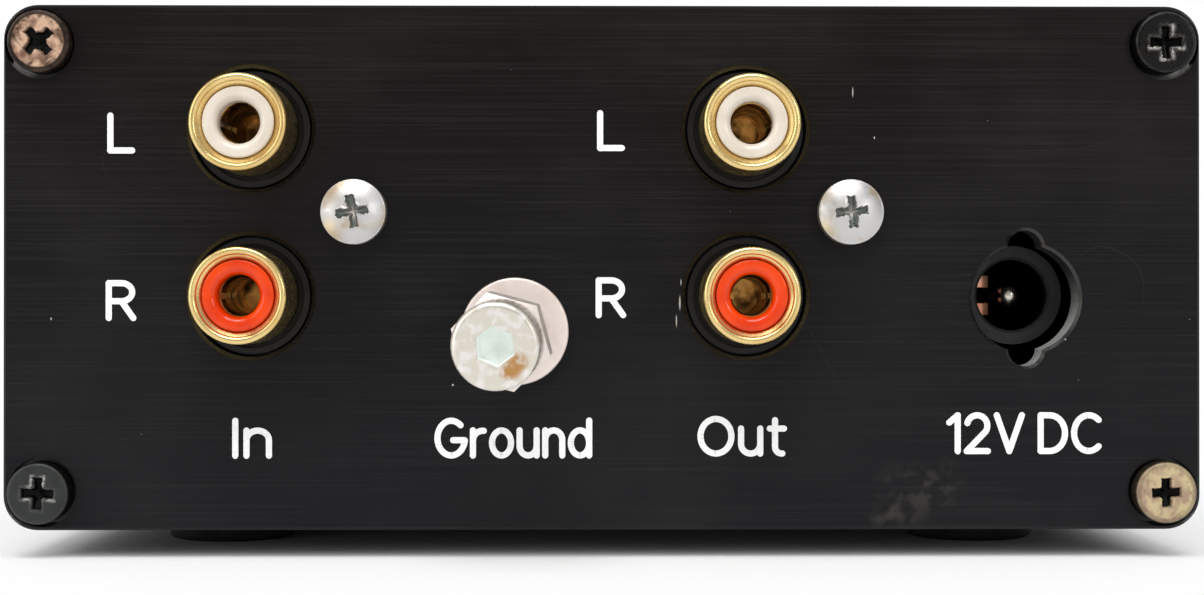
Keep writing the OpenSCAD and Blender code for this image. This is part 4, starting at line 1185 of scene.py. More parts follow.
def make_piece(
    name: str, sheets: Sequence[Sheet], place: Place, finish: Finish, node: str,
    body: str = "root", crease: float = 34.0, stands_for: bool = True,
) -> bpy.types.Object:
    """Writes sheets as one mesh and ties it to the frame.

    Args:
        name: The piece's name.
        sheets: Closed surfaces on the piece's own axes.
        place: Where those axes lie.
        finish: What the piece is finished in.
        node: CAD node that the piece belongs to, which it hides when it stands for it.
        body: CAD body that it rides on.
        crease: Angle in degrees above which an edge stays sharp.
        stands_for: Whether the piece replaces that CAD node.

    Returns:
        The finished object.
    """
    starts = np.cumsum([0] + [s.points[..., 0].size for s in sheets])
    points = place.put(np.concatenate([s.points.reshape(-1, 3) for s in sheets])) * MM
    quads = np.concatenate([s.quads(int(start)) for s, start in zip(sheets, starts)])
    mesh = bpy.data.meshes.new(name)
    mesh.from_pydata(points.tolist(), [], quads.tolist())
    # the second mask carries the recess colour: soiling with painted shade, and painted light in a hex
    # socket
    for label in ("wear", "grime_and_painted_light"):
        marks = [getattr(sheet, label) for sheet in sheets]
        if any(mark is not None for mark in marks):
            blank = (np.zeros(s.points.shape[:2]) if m is None else m for m, s in zip(marks, sheets))
            values = np.concatenate([value.ravel() for value in blank]).astype(np.float32)
            mesh.attributes.new(label, "FLOAT", "POINT").data.foreach_set("value", values)
    weld(mesh)
    mesh.shade_smooth()
    mesh.set_sharp_from_angle(angle=math.radians(crease))
    mesh.materials.append(finish.material())
    piece = bpy.data.objects.new(name, mesh)
    bpy.context.scene.collection.objects.link(piece)
    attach(piece, body)
    if stands_for:
        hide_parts(node)
    LOG.info("%s: %d faces on %s", name, len(mesh.polygons), body)
    return piece


def weld(mesh: bpy.types.Mesh) -> None:
    """Closes a mesh's seams and poles and turns its faces outwards.

    Args:
        mesh: The mesh, which is changed in place.
    """
    work = bmesh.new()
    work.from_mesh(mesh)
    bmesh.ops.remove_doubles(work, verts=work.verts, dist=WELD_REACH)
    bmesh.ops.dissolve_degenerate(work, edges=work.edges, dist=WELD_REACH / 2)
    bmesh.ops.recalc_face_normals(work, faces=work.faces)
    work.to_mesh(mesh)
    work.free()


def dress_cad_nodes() -> None:
    """Gives each CAD node that stays in view its finish."""
    for node, finish in CAD_FINISHES.items():
        piece = frame["nodes"][node]
        piece.data.materials.clear()
        piece.data.materials.append(finish.material())
        LOG.info("%s: CAD node in %s", node, finish.name)


# ---- Screws ---------------------------------------------------------------------------------


@dataclass(frozen=True)
class CrossRecess:
    """Cross recess in a screw head, as clean or as chewed as its screw."""

    span: float = 2.8
    arm: float = 0.78
    core: float = 0.62
    depth: float = 1.2
    wall: float = 4.0
    chew: float = 0.02
    burr: float = 0.0
    burr_w: float = 0.12
    burr_angles: tuple[float, ...] = ()
    edge_wear: float = 0.1
    worn_core: float = 0.0
    turn: float = 0.0
    seed: float = 1.0
    floor_rise: float = 0.55
    burr_spread: float = 0.22
    worn_core_r: float = 0.5
    wear_reach: float = 0.35

    def cut(self, x: np.ndarray, y: np.ndarray) -> tuple[np.ndarray, np.ndarray, np.ndarray]:
        """Works out the recess's height, wear, and its mask of soiling with painted shade.

        The distance in from the cross's outline is the greatest of three: half a span less |u|
        with half an arm less |v|, the same with u and v swapped, and the core's radius less the
        distance from the axis. The height falls with that distance at the wall's slope, down to
        a floor that rises towards the arms' ends. A burr stands up just outside the outline.

        Args:
            x: Places across the head.
            y: Places up the head.

        Returns:
            Height relative to the head's top, then wear, and soiling with painted shade, from 0 to 1.
        """
        angle = math.radians(self.turn)
        u = x * math.cos(angle) + y * math.sin(angle)
        v = y * math.cos(angle) - x * math.sin(angle)
        out = np.hypot(u, v)
        level = np.minimum(self.span / 2 - np.abs(u), self.arm / 2 - np.abs(v))
        upright = np.minimum(self.span / 2 - np.abs(v), self.arm / 2 - np.abs(u))
        inside = np.maximum(np.maximum(level, upright), self.core - out)
        inside = inside + self.chew * ripple(0.7 * u, 0.7 * v, self.seed)
        floor = self.depth * (1 - self.floor_rise * np.clip(out / (self.span / 2), 0, 1))
        sunk = np.clip(inside * self.wall, 0, None)
        depth = np.minimum(sunk, floor)
        rim = np.exp(-((inside + self.burr_w / 2) / self.burr_w) ** 2)
        near = np.zeros_like(out)
        for degrees in self.burr_angles:
            off = np.angle(np.exp(1j * (np.arctan2(v, u) - math.radians(degrees))))
            near = np.maximum(near, np.exp(-((off / self.burr_spread) ** 2)))
        lifted = self.burr * rim * near * (0.7 + 0.3 * ripple(3 * u, 3 * v, self.seed))
        wear = np.clip(rim * near * 1.4 + self.edge_wear * rim, 0, 1)
        wear = wear * (out < self.span / 2 + self.wear_reach)
        clean_core = self.worn_core * np.exp(-((out / self.worn_core_r) ** 2))
        # share of the recess colour: soiling with painted shade, deepest in the recess
        dirt_and_painted_light = smooth(depth, *GRIME_AND_PAINTED_LIGHT_DEPTHS) * (1 - clean_core)
        dirt_and_painted_light = dirt_and_painted_light * (1 - 0.3 * self.worn_core * ripple(u, v, self.seed) ** 2)
        return lifted - depth, wear, dirt_and_painted_light


@dataclass(frozen=True)
class HexRecess:
    """Hexagon socket in a cap screw's head."""

    across: float = 3.0
    depth: float = 1.5
    wall: float = 9.0
    turn: float = 36.0
    peak: float = 0.7
    rim_w: float = 0.1

    def cut(self, x: np.ndarray, y: np.ndarray) -> tuple[np.ndarray, np.ndarray, np.ndarray]:
        """Works out the socket's height, wear, and the mask that paints its recess colour, which is painted
        light.

        The distance in from the hexagon is half its width less the greatest reach of the point
        along the three directions that cross its flats. The floor is a shallow six-sided pyramid.

        Args:
            x: Places across the head.
            y: Places up the head.

        Returns:
            Height relative to the head's top, then wear, and the share of the painted recess colour, from 0
            to 1.
        """
        angles = np.radians([30.0 + self.turn, 90.0 + self.turn, 150.0 + self.turn])
        reach = np.max([np.abs(x * math.cos(a) + y * math.sin(a)) for a in angles], axis=0)
        inside = self.across / 2 - reach
        point = self.peak * np.clip(inside / (self.across / 2), 0, 1)
        depth = np.minimum(np.clip(inside * self.wall, 0, None), self.depth + point)
        return -depth, np.exp(-((inside / self.rim_w) ** 2)), smooth(depth, *GRIME_AND_PAINTED_LIGHT_DEPTHS)


@dataclass(frozen=True)
class HeadShape:
    """Turned part of a screw head: its radius, height, the dome on top and the rim's rounding."""

    radius: float
    height: float
    rim: float
    dome: float = 0.0
    knurls: int = 0
    # darkens mottles near the rim and a ring at the top's edge
    rim_darkening: float = 0.0
    # painted shade: the head's side painted dark, as shade in the counterbore
    side_painted_shade: float = 0.0
    foot_cut: float = 0.08
    knurl_share: float = 0.022

    def surface(self, recess: CrossRecess | HexRecess, rows: int = 100, columns: int = 208) -> Sheet:
        """Works out the whole head.

        The top is a polar grid whose height is the dome plus the recess's cut. The dome of
        radius d drops d - sqrt(d d - r r). The rim is a quarter circle, and the side may have
        knurls: r less a small share of |sin(turns)|.

        Args:
            recess: What is cut into the top.
            rows: Rings on the top.
            columns: Points round the head.

        Returns:
            The head, with its underside at z = 0, its wear, and its mask for the recess colour: soiling and
            painted light in the recess, darkening round the rim, painted shade on the side.
        """
        turn = np.linspace(0, FULL_TURN, columns, endpoint=False)
        flat = self.radius - self.rim
        r = np.linspace(0, flat, rows)[:, None]
        x, y = r * np.cos(turn), r * np.sin(turn)
        drop = self.dome - np.sqrt(self.dome**2 - r**2) if self.dome else 0 * r
        cut, wear, dirt_and_painted_light = recess.cut(x, y)
        top = np.stack([x, y, self.height - drop + cut], -1)
        edge_z = self.height - float(drop[-1, 0]) - self.rim
        arc = np.linspace(0, math.pi / 2, 7)[1:, None]
        ring_r = flat + self.rim * np.sin(arc)
        ring_z = edge_z + self.rim * np.cos(arc)
        side_r = np.array([[self.radius], [self.radius], [self.radius - self.foot_cut], [0.0]])
        side_z = np.array([[0.94 * edge_z], [self.foot_cut], [0.0], [0.0]])
        if self.knurls:
            groove = self.knurl_share * self.radius * np.abs(np.sin(self.knurls / 2 * turn)) ** 0.6
            side_r = side_r - np.array([[1.0], [1.0], [0.5], [0.0]]) * groove
        low_r = np.concatenate([ring_r + 0 * turn, side_r + 0 * turn])
        low_z = np.concatenate([ring_z, side_z])
        low = np.stack([low_r * np.cos(turn), low_r * np.sin(turn), low_z + 0 * turn], -1)
        scuffs = 0.14 * np.exp(-((np.arange(len(low))[:, None] - 3) / 2.0) ** 2) * (
            0.5 + 0.5 * ripple(3 * np.cos(turn), 3 * np.sin(turn), self.height)
        )
        patches = smooth(ripple(0.6 * x, 0.6 * y, 3.1 * self.height), 0.0, 0.4) * smooth(r, 0.4 * flat, flat)
        # a darker ring at the edge of the top, scaled by the rim darkening
        dark_rim = smooth(r, flat - 0.18, flat) + 0 * patches
        dirt_and_painted_light = np.maximum(dirt_and_painted_light, self.rim_darkening * np.maximum(0.8 * patches, dark_rim))
        # the rounded rim takes the rim darkening; the side is painted dark as shade in the counterbore
        low_rim_darkening_and_side_shade = np.where(np.arange(len(low))[:, None] < 3, self.rim_darkening, self.side_painted_shade) * (1 - scuffs)
        grime_and_painted_light = np.concatenate([dirt_and_painted_light, low_rim_darkening_and_side_shade])
        return Sheet(np.concatenate([top, low]), wear=np.concatenate([wear, scuffs]), grime_and_painted_light=grime_and_painted_light)


@dataclass(frozen=True)
class CornerScrews:
    """Flat-headed screws in the corners of both end plates."""

    head: HeadShape = HeadShape(2.7, 2.4, 0.35)
    proud: float = 1.2
    shank_l: float = 9.0
    shank_r: float = 1.5
    pitch: float = 0.5

    def centre(self, node: str, right: bool, top: bool) -> tuple[float, float]:
        """Returns where a corner's screw stands, from the box of the node that holds it.

        Args:
            node: CAD node that holds the screw.
            right: Whether it is the right-hand one.
            top: Whether it is the upper one.

        Returns:
            Place to the right and height of its axis.
        """
        low, high = node_box(node)
        side, level = (high if right else low), (high if top else low)
        inward = (-1 if right else 1, -1 if top else 1)
        return side[0] + inward[0] * self.head.radius, level[2] + inward[1] * self.head.radius

    def screw(
        self, name: str, node: str, place: Place, recess: CrossRecess, finish: Finish,
        rim_darkening: float = 0.0, rows: int = 100,
    ) -> bpy.types.Object:
        """Builds one screw with its head, as dark round its rim as given, its side painted near black as
        shade in the counterbore, and threaded shank.

        Args:
            name: The piece's name.
            node: CAD node that the screw belongs to.
            place: Where its axis meets the plate.
            recess: Its cross recess.
            finish: What it is finished in.
            rim_darkening: Darkening of the mottles and the edge round its rim, from 0 to 1.
            rows: Rings on its top.

        Returns:
            The finished screw.
        """
        seat = place.shifted(z=self.proud - self.head.height)
        shank = thread(self.shank_r, self.pitch, 0.2, -self.shank_l, 32)
        # side_painted_shade=0.97 paints the head's side near black, as shade in the counterbore
        sheets = [replace(self.head, rim_darkening=rim_darkening, side_painted_shade=0.97).surface(recess, rows), shank]
        return make_piece(name, sheets, seat, finish, node)

    def build(self) -> None:
        """Builds the four rear screws, each as worn as it is, and the four front ones."""
        chewed = CrossRecess(2.9, 0.95, 0.85, chew=0.1, turn=42, seed=2.2)
        clean = CrossRecess(2.6, 0.92, 0.72, chew=0.05, turn=2, seed=4.0)
        cammed = CrossRecess(
            2.85, 0.84, 0.62, chew=0.08, burr=0.2, burr_w=0.16, seed=5.1,
            burr_angles=(-30, -55, -100, -150, 60),
        )
        nicked = CrossRecess(
            2.85, 0.86, 0.68, chew=0.07, burr=0.16, burr_w=0.14, turn=-3, seed=3.3,
            burr_angles=(133, 65, -144, -30, 118),
        )
        rear = (
            ("rear_screw_top_left", "rear_screws_worn", False, True, chewed, WORN_TAN, 0.95),
            ("rear_screw_bottom_right", "rear_screws_worn", True, False, clean, WORN_KHAKI, 0.35),
            ("rear_screw_bottom_left", "rear_screws_black", False, False, nicked, SATIN_STEEL, 0.0),
            ("rear_screw_top_right", "rear_screws_black", True, True, cammed, BLACK_STEEL, 0.0),
        )
        for name, node, right, top, recess, finish, dirt_and_painted_light in rear:
            self.screw(name, node, on_rear(*self.centre(node, right, top)), recess, finish, dirt_and_painted_light)
        for i, (right, top) in enumerate([(False, False), (False, True), (True, False), (True, True)]):
            x, z = self.centre("front_plate_screws", not right, top)
            recess = CrossRecess(turn=20 + 31 * i, seed=6.0 + i)
            name = f"front_screw_{'top' if top else 'bottom'}_{'right' if right else 'left'}"
            self.screw(name, "front_plate_screws", on_front(x, z), recess, BLACK_STEEL, rows=60)


# ---- Phono sockets --------------------------------------------------------------------------


@dataclass(frozen=True)
class PhonoSocket:
    """One phono socket: shell, insulator and split contact on a common axis."""

    pair: str
    side: str
    nylon: Finish
    shell_r: float = 4.15
    seat_r: float = 3.9
    step_out: float = 0.3
    bore_r: float = 3.1
    lip_w: float = 0.68
    proud: float = 7.0
    back: float = 12.5
    slope: float = 0.32
    face_recess: float = 0.4
    guide_r: float = 1.8
    mouth: float = 0.66
    contact_r: float = 2.0
    contact_bore_r: float = 1.6
    contact_out: float = 4.8
    contact_floor: float = -6.7
    slit_l: float = 7.0
    slit_w: float = 0.5
    tail_r: float = 0.5
    tail_lap: float = 0.3
    floor_t: float = 0.8
    gap: float = 0.05

    @property
    def key(self) -> str:
        """Ending of the socket's node names."""
        return f"{self.pair}_{self.side}"

    @property
    def centre(self) -> tuple[float, float]:
        """Where the socket's axis meets the plate, from its insulator's box."""
        x, _, z = node_middle(f"rca_insulator_{self.key}")
        return x, z

    def leg(self, node: str, x: float, z: float, start: float) -> Sheet:
        """Builds a solder tail that ends where the CAD node's own tail ends."""
        low, high = node_box(node)
        return tail(x, z, start, high[1] - REAR_Y - self.tail_r, low[2], self.tail_r)

    def build(self) -> None:
        """Builds the three pieces."""
        x, z = self.centre
        place = on_rear(x, z)
        self.shell(x, z, place)
        self.insulator(place)
        self.contact(x, z, place)

    def shell(self, x: float, z: float, place: Place) -> None:
        """Turns the shell, whose lip is a half circle and whose mouth slopes to the bore.

        Args:
            x: Place of the socket's axis to the right.
            z: Height of that axis.
            place: Where the axis meets the plate.
        """
        lip = self.lip_w / 2
        top = self.proud - lip
        arc = np.linspace(0, math.pi, 15)
        rim = np.stack([self.shell_r - lip + lip * np.cos(arc), top + lip * np.sin(arc)], -1)
        profile = np.concatenate([
            [[self.bore_r, -self.back], [self.seat_r, -self.back], [self.seat_r, self.step_out],
             [self.shell_r - 0.04, self.step_out], [self.shell_r, self.step_out + 0.04],
             [self.shell_r, 0.5 * top]],
            rim,
            fillet([(self.shell_r - self.lip_w, top, 0), (self.bore_r, top - self.slope, 0.12),
                    (self.bore_r, 0, 0)])[1:],
        ])
        leg_x = x - (self.seat_r + self.bore_r) / 2
        node = f"rca_shell_{self.key}"
        leg = self.leg(node, leg_x, z, self.back - self.tail_lap)
        self.join(f"shell_{self.key}", [lathe(profile, 144, closed=True)], leg, place, GOLD, node)

    def insulator(self, place: Place) -> None:
        """Turns the insulator, whose guide opens in a rounded mouth.

        Args:
            place: Where the socket's axis meets the plate.
        """
        outer, face = self.bore_r - self.gap, self.proud - self.face_recess
        seat_r, seat_z = self.contact_r + self.gap, self.contact_out + self.gap
        arc = np.linspace(math.pi / 2, math.pi, 9)
        mouth = np.stack([self.guide_r + self.mouth + self.mouth * np.cos(arc),
                          face - self.mouth + self.mouth * np.sin(arc)], -1)
        profile = np.concatenate([
            fillet([(outer, -self.back, 0), (outer, face, 0.2), (self.guide_r + self.mouth, face, 0)]),
            mouth,
            [[self.guide_r, seat_z], [seat_r, seat_z], [seat_r, -self.back]],
        ])
        node = f"rca_insulator_{self.key}"
        make_piece(f"insulator_{self.key}", [lathe(profile, 128, closed=True)], place, self.nylon, node)

    def contact(self, x: float, z: float, place: Place) -> None:
        """Builds the contact: a turned cup, and two jaws that end in a flared mouth.

        Args:
            x: Place of the socket's axis to the right.
            z: Height of that axis.
            place: Where the axis meets the plate.
        """
        r, bore = self.contact_r, self.contact_bore_r
        slit_end = self.contact_out - self.slit_l
        back = self.contact_floor - self.floor_t
        cup = lathe(np.array([[0, back], [r, back], [r, slit_end], [bore, slit_end],
                              [bore, self.contact_floor], [0, self.contact_floor]]), 72)
        node = f"rca_contact_{self.key}"
        leg = self.leg(node, x, z, -back - self.tail_lap)
        sheets = [cup, self.jaw(0), self.jaw(math.pi)]
        self.join(f"contact_{self.key}", sheets, leg, place, CONTACT_GOLD, node)

    def jaw(self, start: float) -> Sheet:
        """Builds half of the split tube.

        A section is an arc of the outer radius and back along the inner one, between the two
        slits. The inner radius grows by 0.15 over the last 0.3 to make the flared mouth.

        Args:
            start: Angle in radians where the half turn starts.

        Returns:
            The jaw as a closed surface.
        """
        r, bore, out = self.contact_r, self.contact_bore_r, self.contact_out
        z = np.array([out - self.slit_l, out - 2.0, out - 0.3, out - 0.12, out])
        inner = bore + 0.15 * smooth(z, out - 0.3, out)
        half_slit = math.asin(self.slit_w / 2 / bore)
        arc = start + np.linspace(half_slit, math.pi - half_slit, 28)
        turn = np.concatenate([arc, arc[::-1]])
        is_outer = np.arange(turn.size) < arc.size
        radius = np.where(is_outer, r, inner[:, None])
        middle = 0 * radius[:1] + (r + bore) / 2
        radius = np.concatenate([middle, radius, middle])
        height = np.concatenate([z[:1], z, z[-1:]])[:, None] + 0 * turn
        return Sheet(np.stack([radius * np.cos(turn), radius * np.sin(turn), height], -1))

    def join(
        self, name: str, sheets: list[Sheet], leg: Sheet, place: Place, finish: Finish, node: str
    ) -> None:
        """Makes one piece of turned sheets on the plate's axes and a tail on the frame's."""
        make_piece(name, [*sheets, Sheet(place.back(leg.points))], place, finish, node)


@dataclass(frozen=True)
class PhonoPairs:
    """The four phono sockets and the two screws that hold their housings to the plate."""

    head: HeadShape = HeadShape(2.85, 2.2, 0.12, dome=5.0)
    shank_l: float = 8.0
    shank_r: float = 1.5
    pitch: float = 1.06

    def build(self) -> None:
        """Builds the sockets and their fixing screws."""
        for pair in ("in", "out"):
            PhonoSocket(pair, "l", WHITE_NYLON).build()
            PhonoSocket(pair, "r", RED_NYLON).build()
        low, high = node_box("rca_fixing_screws")
        z = node_middle("rca_fixing_screws")[2]
        worn = CrossRecess(2.8, 0.74, 0.5, chew=0.17, worn_core=0.9)
        recesses = (
            replace(worn, burr=0.08, burr_angles=(40, 150, 260), turn=9, seed=7.0),
            replace(worn, burr=0.1, burr_angles=(130, 215, 300), turn=4, seed=8.6),
        )
        places = (low[0] + self.head.radius, high[0] - self.head.radius)
        for name, x, recess in zip(("left", "right"), places, recesses):
            sheets = [self.head.surface(recess), thread(self.shank_r, self.pitch, 0.2, -self.shank_l, 32)]
            make_piece(f"fixing_screw_{name}", sheets, on_rear(x, z), ZINC, "rca_fixing_screws")


# ---- Power socket ---------------------------------------------------------------------------


@dataclass(frozen=True)
class PowerSocket:
    """Centre pin and sprung leaf of the power socket; its housing is the CAD node."""

    pin_r: float = 1.05
    pin_tip: float = 6.3
    tail_r: float = 0.6
    leaf_t: float = 0.3
    leaf_h: float = 3.6
    leaf_gap: float = 1.4
    root: tuple[float, float] = (-3.95, -17.45)
    fork: float = -13.3
    web_inset: float = 0.01
    web_lap: float = 0.2

    def build(self) -> None:
        """Builds the pin and the leaf."""
        low, high = node_box("dc_centre_pin")
        x, z = node_middle("dc_centre_pin")[0], float(high[2]) - self.pin_r
        place = on_rear(x, z)
        arc = np.linspace(0, math.pi / 2, 12)
        dome = np.stack([self.pin_r * np.sin(arc), -self.pin_tip - self.pin_r * (1 - np.cos(arc))], -1)
        back = high[1] - REAR_Y - self.tail_r
        rod = np.concatenate([dome, [[self.pin_r, -back + 0.7], [0, -back + 0.7]]])
        leg = tail(x, z, back - 1.2, back, low[2], self.tail_r)
        sheets = [lathe(rod, 64), Sheet(place.back(leg.points))]
        make_piece("power_pin", sheets, place, NICKEL, "dc_centre_pin")
        route = [(*self.root, 0), (self.root[0], -12.7, 1.6), (-1.87, -8.9, 0.5), (-1.75, -8.4, 0.5),
                 (-1.87, -7.9, 0.4), (-2.3, -7.2, 0.7), (-3.1, -6.98, 0)]
        path = fillet(route)
        half, slot = self.leaf_h / 2, self.leaf_gap / 2
        web = np.array([(self.root[0], self.root[1] + self.web_inset), (self.root[0], self.fork)])
        reach = slot + self.web_lap
        sheets = [
            strip(web, self.leaf_t - 2 * self.web_inset, -reach, reach),
            strip(path, self.leaf_t, slot, half),
            strip(path, self.leaf_t, -half, -slot),
        ]
        make_piece("power_leaf", sheets, place, COPPER, "dc_leaf_contact", "dc_leaf")


# ---- Ground terminal ------------------------------------------------------------------------


@dataclass(frozen=True)
class GroundTerminal:
    """Cap screw, clamp nut and washers on the leaning axis, and the hardware behind the plate."""

    head: HeadShape = HeadShape(3.6, 4.0, 0.5, knurls=40)
    out: float = 12.4
    length: float = 25.0
    shank_r: float = 2.0
    pitch: float = 0.7
    nut_across: float = 7.3
    nut_h: float = 3.2
    nut_bore: float = 2.05
    nut_turn: float = 45.0
    chamfer: float = 0.7
    washer_r: float = 4.7
    washer_bore: float = 2.3
    washer_t: float = 0.8
    tooth_r: float = 3.5
    tooth_t: float = 0.7
    teeth: int = 12
    gap: float = 0.05
    inner_nut_foot: float = -7.15

    def build(self) -> None:
        """Builds the terminal from its screw out to its wire."""
        post = on_joint("clamp_turn")
        head = self.head.surface(HexRecess(), 110, 240)
        lifted = replace(head, points=head.points + [0, 0, self.out])
        rod = thread(self.shank_r, self.pitch, self.out + 0.3, self.out - self.length, 56)
        make_piece("ground_cap_screw", [lifted, rod], post, CAP_ZINC, "ground_screw")
        foot = self.out - self.gap - self.nut_h
        nut = self.hex_nut(foot)
        make_piece("clamp_hex_nut", [nut], post.turned(self.nut_turn), NUT_ZINC, "clamp_nut", "clamp_nut")
        teeth = self.toothed_ring(foot - self.gap - self.tooth_t)
        make_piece("toothed_washer", [teeth], post, ZINC, "clamp_tooth_washer", "clamp_washer")
        inner = self.hex_nut(self.inner_nut_foot)
        make_piece("inner_hex_nut", [inner], post, ZINC, "ground_inner_nut")
        self.plain_washer()
        self.wire()

    def hex_nut(self, foot: float) -> Sheet:
        """Builds a nut on a polar grid.

        The outline is a hexagon: half the width across flats over the cosine of the angle from
        the nearest flat. Outside the circle that touches the flats, both faces fall away at the
        chamfer's slope.

        Args:
            foot: Height of the lower face.

        Returns:
            The nut as a closed ring.
        """
        turn = np.linspace(0, FULL_TURN, 144, endpoint=False)
        flat = self.nut_across / 2
        outline = flat / np.cos(turn % (math.pi / 3) - math.pi / 6)
        bore, land = self.nut_bore + 0 * turn, flat - 0.02 + 0 * turn
        middle = (land + outline) / 2
        face_r = np.stack([bore + 0.25, land, middle, outline])
        fall = self.chamfer * (face_r - face_r[1]) * (np.arange(4)[:, None] > 1)
        r = np.concatenate([bore[None], face_r, face_r[::-1], bore[None]])
        edge = 0.25 + 0 * bore[None]
        z = foot + np.concatenate([edge, fall, self.nut_h - fall[::-1], self.nut_h - edge])
        return Sheet(np.stack([r * np.cos(turn), r * np.sin(turn), z], -1), rows_close=True)

    def toothed_ring(self, foot: float) -> Sheet:
        """Builds the toothed washer.

        Its outer radius falls by 0.45 in round notches between the teeth, and each tooth is
        twisted: its edge rises and falls with the sine of its place round the ring.

        Args:
            foot: Height of the lower face.

        Returns:
            The washer as a closed ring.
        """
        turn = np.linspace(0, FULL_TURN, 30 * self.teeth, endpoint=False)
        phase = turn * self.teeth
        notch = 0.45 * smooth(np.cos(phase), 0.45, 0.9)
        rim = self.tooth_r - notch
        twist = 0.16 * np.sin(phase)
        bore = self.shank_r + self.gap
        low, high = foot + 0.1, foot + self.tooth_t - 0.1
        rows = [(bore + 0 * turn, low, 0), (bore + 0.6 + 0 * turn, low, 0), (rim - 0.05, low, twist),
                (rim, low + 0.08, twist), (rim, high - 0.08, twist), (rim - 0.05, high, twist),
                (bore + 0.6 + 0 * turn, high, 0), (bore + 0 * turn, high, 0)]
        r = np.stack([row[0] for row in rows])
        z = np.stack([row[1] + row[2] * 0.5 + 0 * turn for row in rows])
        return Sheet(np.stack([r * np.cos(turn), r * np.sin(turn), z], -1), rows_close=True)

    def plain_washer(self) -> None:
        """Turns the plain washer, stamped with one rounded and one sharp edge."""
        x, _, z = node_middle("ground_washer")
        profile = fillet(
            [(self.washer_bore, 0, 0.05), (self.washer_r, 0, 0.05),
             (self.washer_r, self.washer_t, 0.22), (self.washer_bore, self.washer_t, 0.15)],
            closed=True,
        )
        ring = lathe(profile, 128, closed=True)
        make_piece("plain_washer", [ring], on_rear(x, z), WASHER_ZINC, "ground_washer")

    def wire(self) -> None:
        """Lays the insulated wire: straight back from the lug, one bend, then down to the board."""
        low, high = node_box("ground_wire")
        radius = float(high[0] - low[0]) / 2
        x, bend = float(low[0]) + radius, 4.0
        back, top = float(high[1]) - radius, float(high[2]) - radius
        route = fillet([(float(low[1]), top, 0), (back, top, bend), (back, float(low[2]), 0)])
        sheet = tube(np.insert(route, 0, x, axis=1), radius, (1, 0, 0), 24)
        make_piece("ground_lead", [sheet], IN_FRAME, WIRE_GREEN, "ground_wire")


# ---- Feet and lamp --------------------------------------------------------------------------


@dataclass(frozen=True)
class Feet:
    """Four moulded rubber feet with a rounded rim and a shallow hollow underneath."""

    radius: float = 6.0
    rim: float = 0.6

    def build(self) -> None:
        """Builds the feet at the four corners of the CAD node's box."""
        low, high = node_box("rubber_feet")
        height = float(high[2])
        profile = fillet(
            [(0, 0.45, 0), (3.6, 0.45, 0.2), (3.9, 0, 0.15), (self.radius, 0, self.rim),
             (self.radius, height - 0.5, 0.2), (self.radius - 0.12, height - 0.3, 0.1),
             (self.radius - 0.12, height, 0), (0, height, 0)]
        )
        for x in (low[0] + self.radius, high[0] - self.radius):
            for y in (low[1] + self.radius, high[1] - self.radius):
                name = f"foot_{'left' if x < 0 else 'right'}_{'rear' if y < 0 else 'front'}"
                place = Place(np.array([float(x), float(y), 0.0]), FRAME_AXES)
                make_piece(name, [lathe(profile, 96)], place, RUBBER, "rubber_feet")


@dataclass(frozen=True)
class FrontLamp:
    """Power lamp in its bezel, with its two leads."""

    bezel_r: float = 4.0
    bezel_proud: float = 1.0
    neck_r: float = 2.95
    bore_r: float = 1.55
    neck_back: float = -6.0
    lamp_r: float = 1.5
    lamp_proud: float = 2.0
    lead_r: float = 0.25

    def build(self) -> None:
        """Builds bezel, lamp and leads."""
        place = on_front(0, MID_Z)
        profile = fillet(
            [(self.bore_r, self.neck_back, 0), (self.neck_r, self.neck_back, 0), (self.neck_r, 0, 0),
             (self.bezel_r, 0, 0), (self.bezel_r, self.bezel_proud, 0.4),
             (self.bore_r + 0.5, self.bezel_proud, 0.2), (self.bore_r, self.bezel_proud - 0.4, 0)],
            closed=True,
        )
        make_piece("lamp_ring", [lathe(profile, 112, closed=True)], place, CHROME, "lamp_bezel")
        arc = np.linspace(0, math.pi / 2, 14)
        tip = self.lamp_proud - self.lamp_r
        dome = np.stack([self.lamp_r * np.sin(arc), tip + self.lamp_r * np.cos(arc)], -1)
        flange_r, flange = self.lamp_r + 0.4, self.neck_back - 1
        barrel = [[self.lamp_r, self.neck_back - 0.05], [flange_r, self.neck_back - 0.05],
                  [flange_r, flange], [0, flange]]
        make_piece("lamp_lens", [lathe(np.concatenate([dome, barrel]), 64)], place, LAMP_GREEN, "power_lamp")
        low, high = node_box("lamp_leads")
        top, back = float(high[2]) - self.lead_r, float(low[1]) + self.lead_r
        route = fillet([(float(high[1]), top, 0), (back, top, 0.6), (back, float(low[2]), 0)])
        leads = [
            tube(np.insert(route, 0, x, axis=1), self.lead_r, (1, 0, 0), 12)
            for x in (low[0] + self.lead_r, high[0] - self.lead_r)
        ]
        make_piece("lamp_wires", leads, IN_FRAME, TIN, "lamp_leads")


# ---- Legends --------------------------------------------------------------------------------


def line(*points: tuple[float, float]) -> np.ndarray:
    """Returns straight strokes through points, in units of the capital height."""
    return np.array(points, float)


def arc(centre: tuple[float, float], rx: float, ry: float, start: float, end: float) -> np.ndarray:
    """Returns an elliptic stroke: centre + (rx cos a, ry sin a), a from start to end degrees."""
    a = np.radians(np.linspace(start, end, 28))
    return np.stack([centre[0] + rx * np.cos(a), centre[1] + ry * np.sin(a)], -1)


def joined(*parts: np.ndarray) -> np.ndarray:
    """Returns strokes drawn without lifting the pen."""
    return np.concatenate(parts)


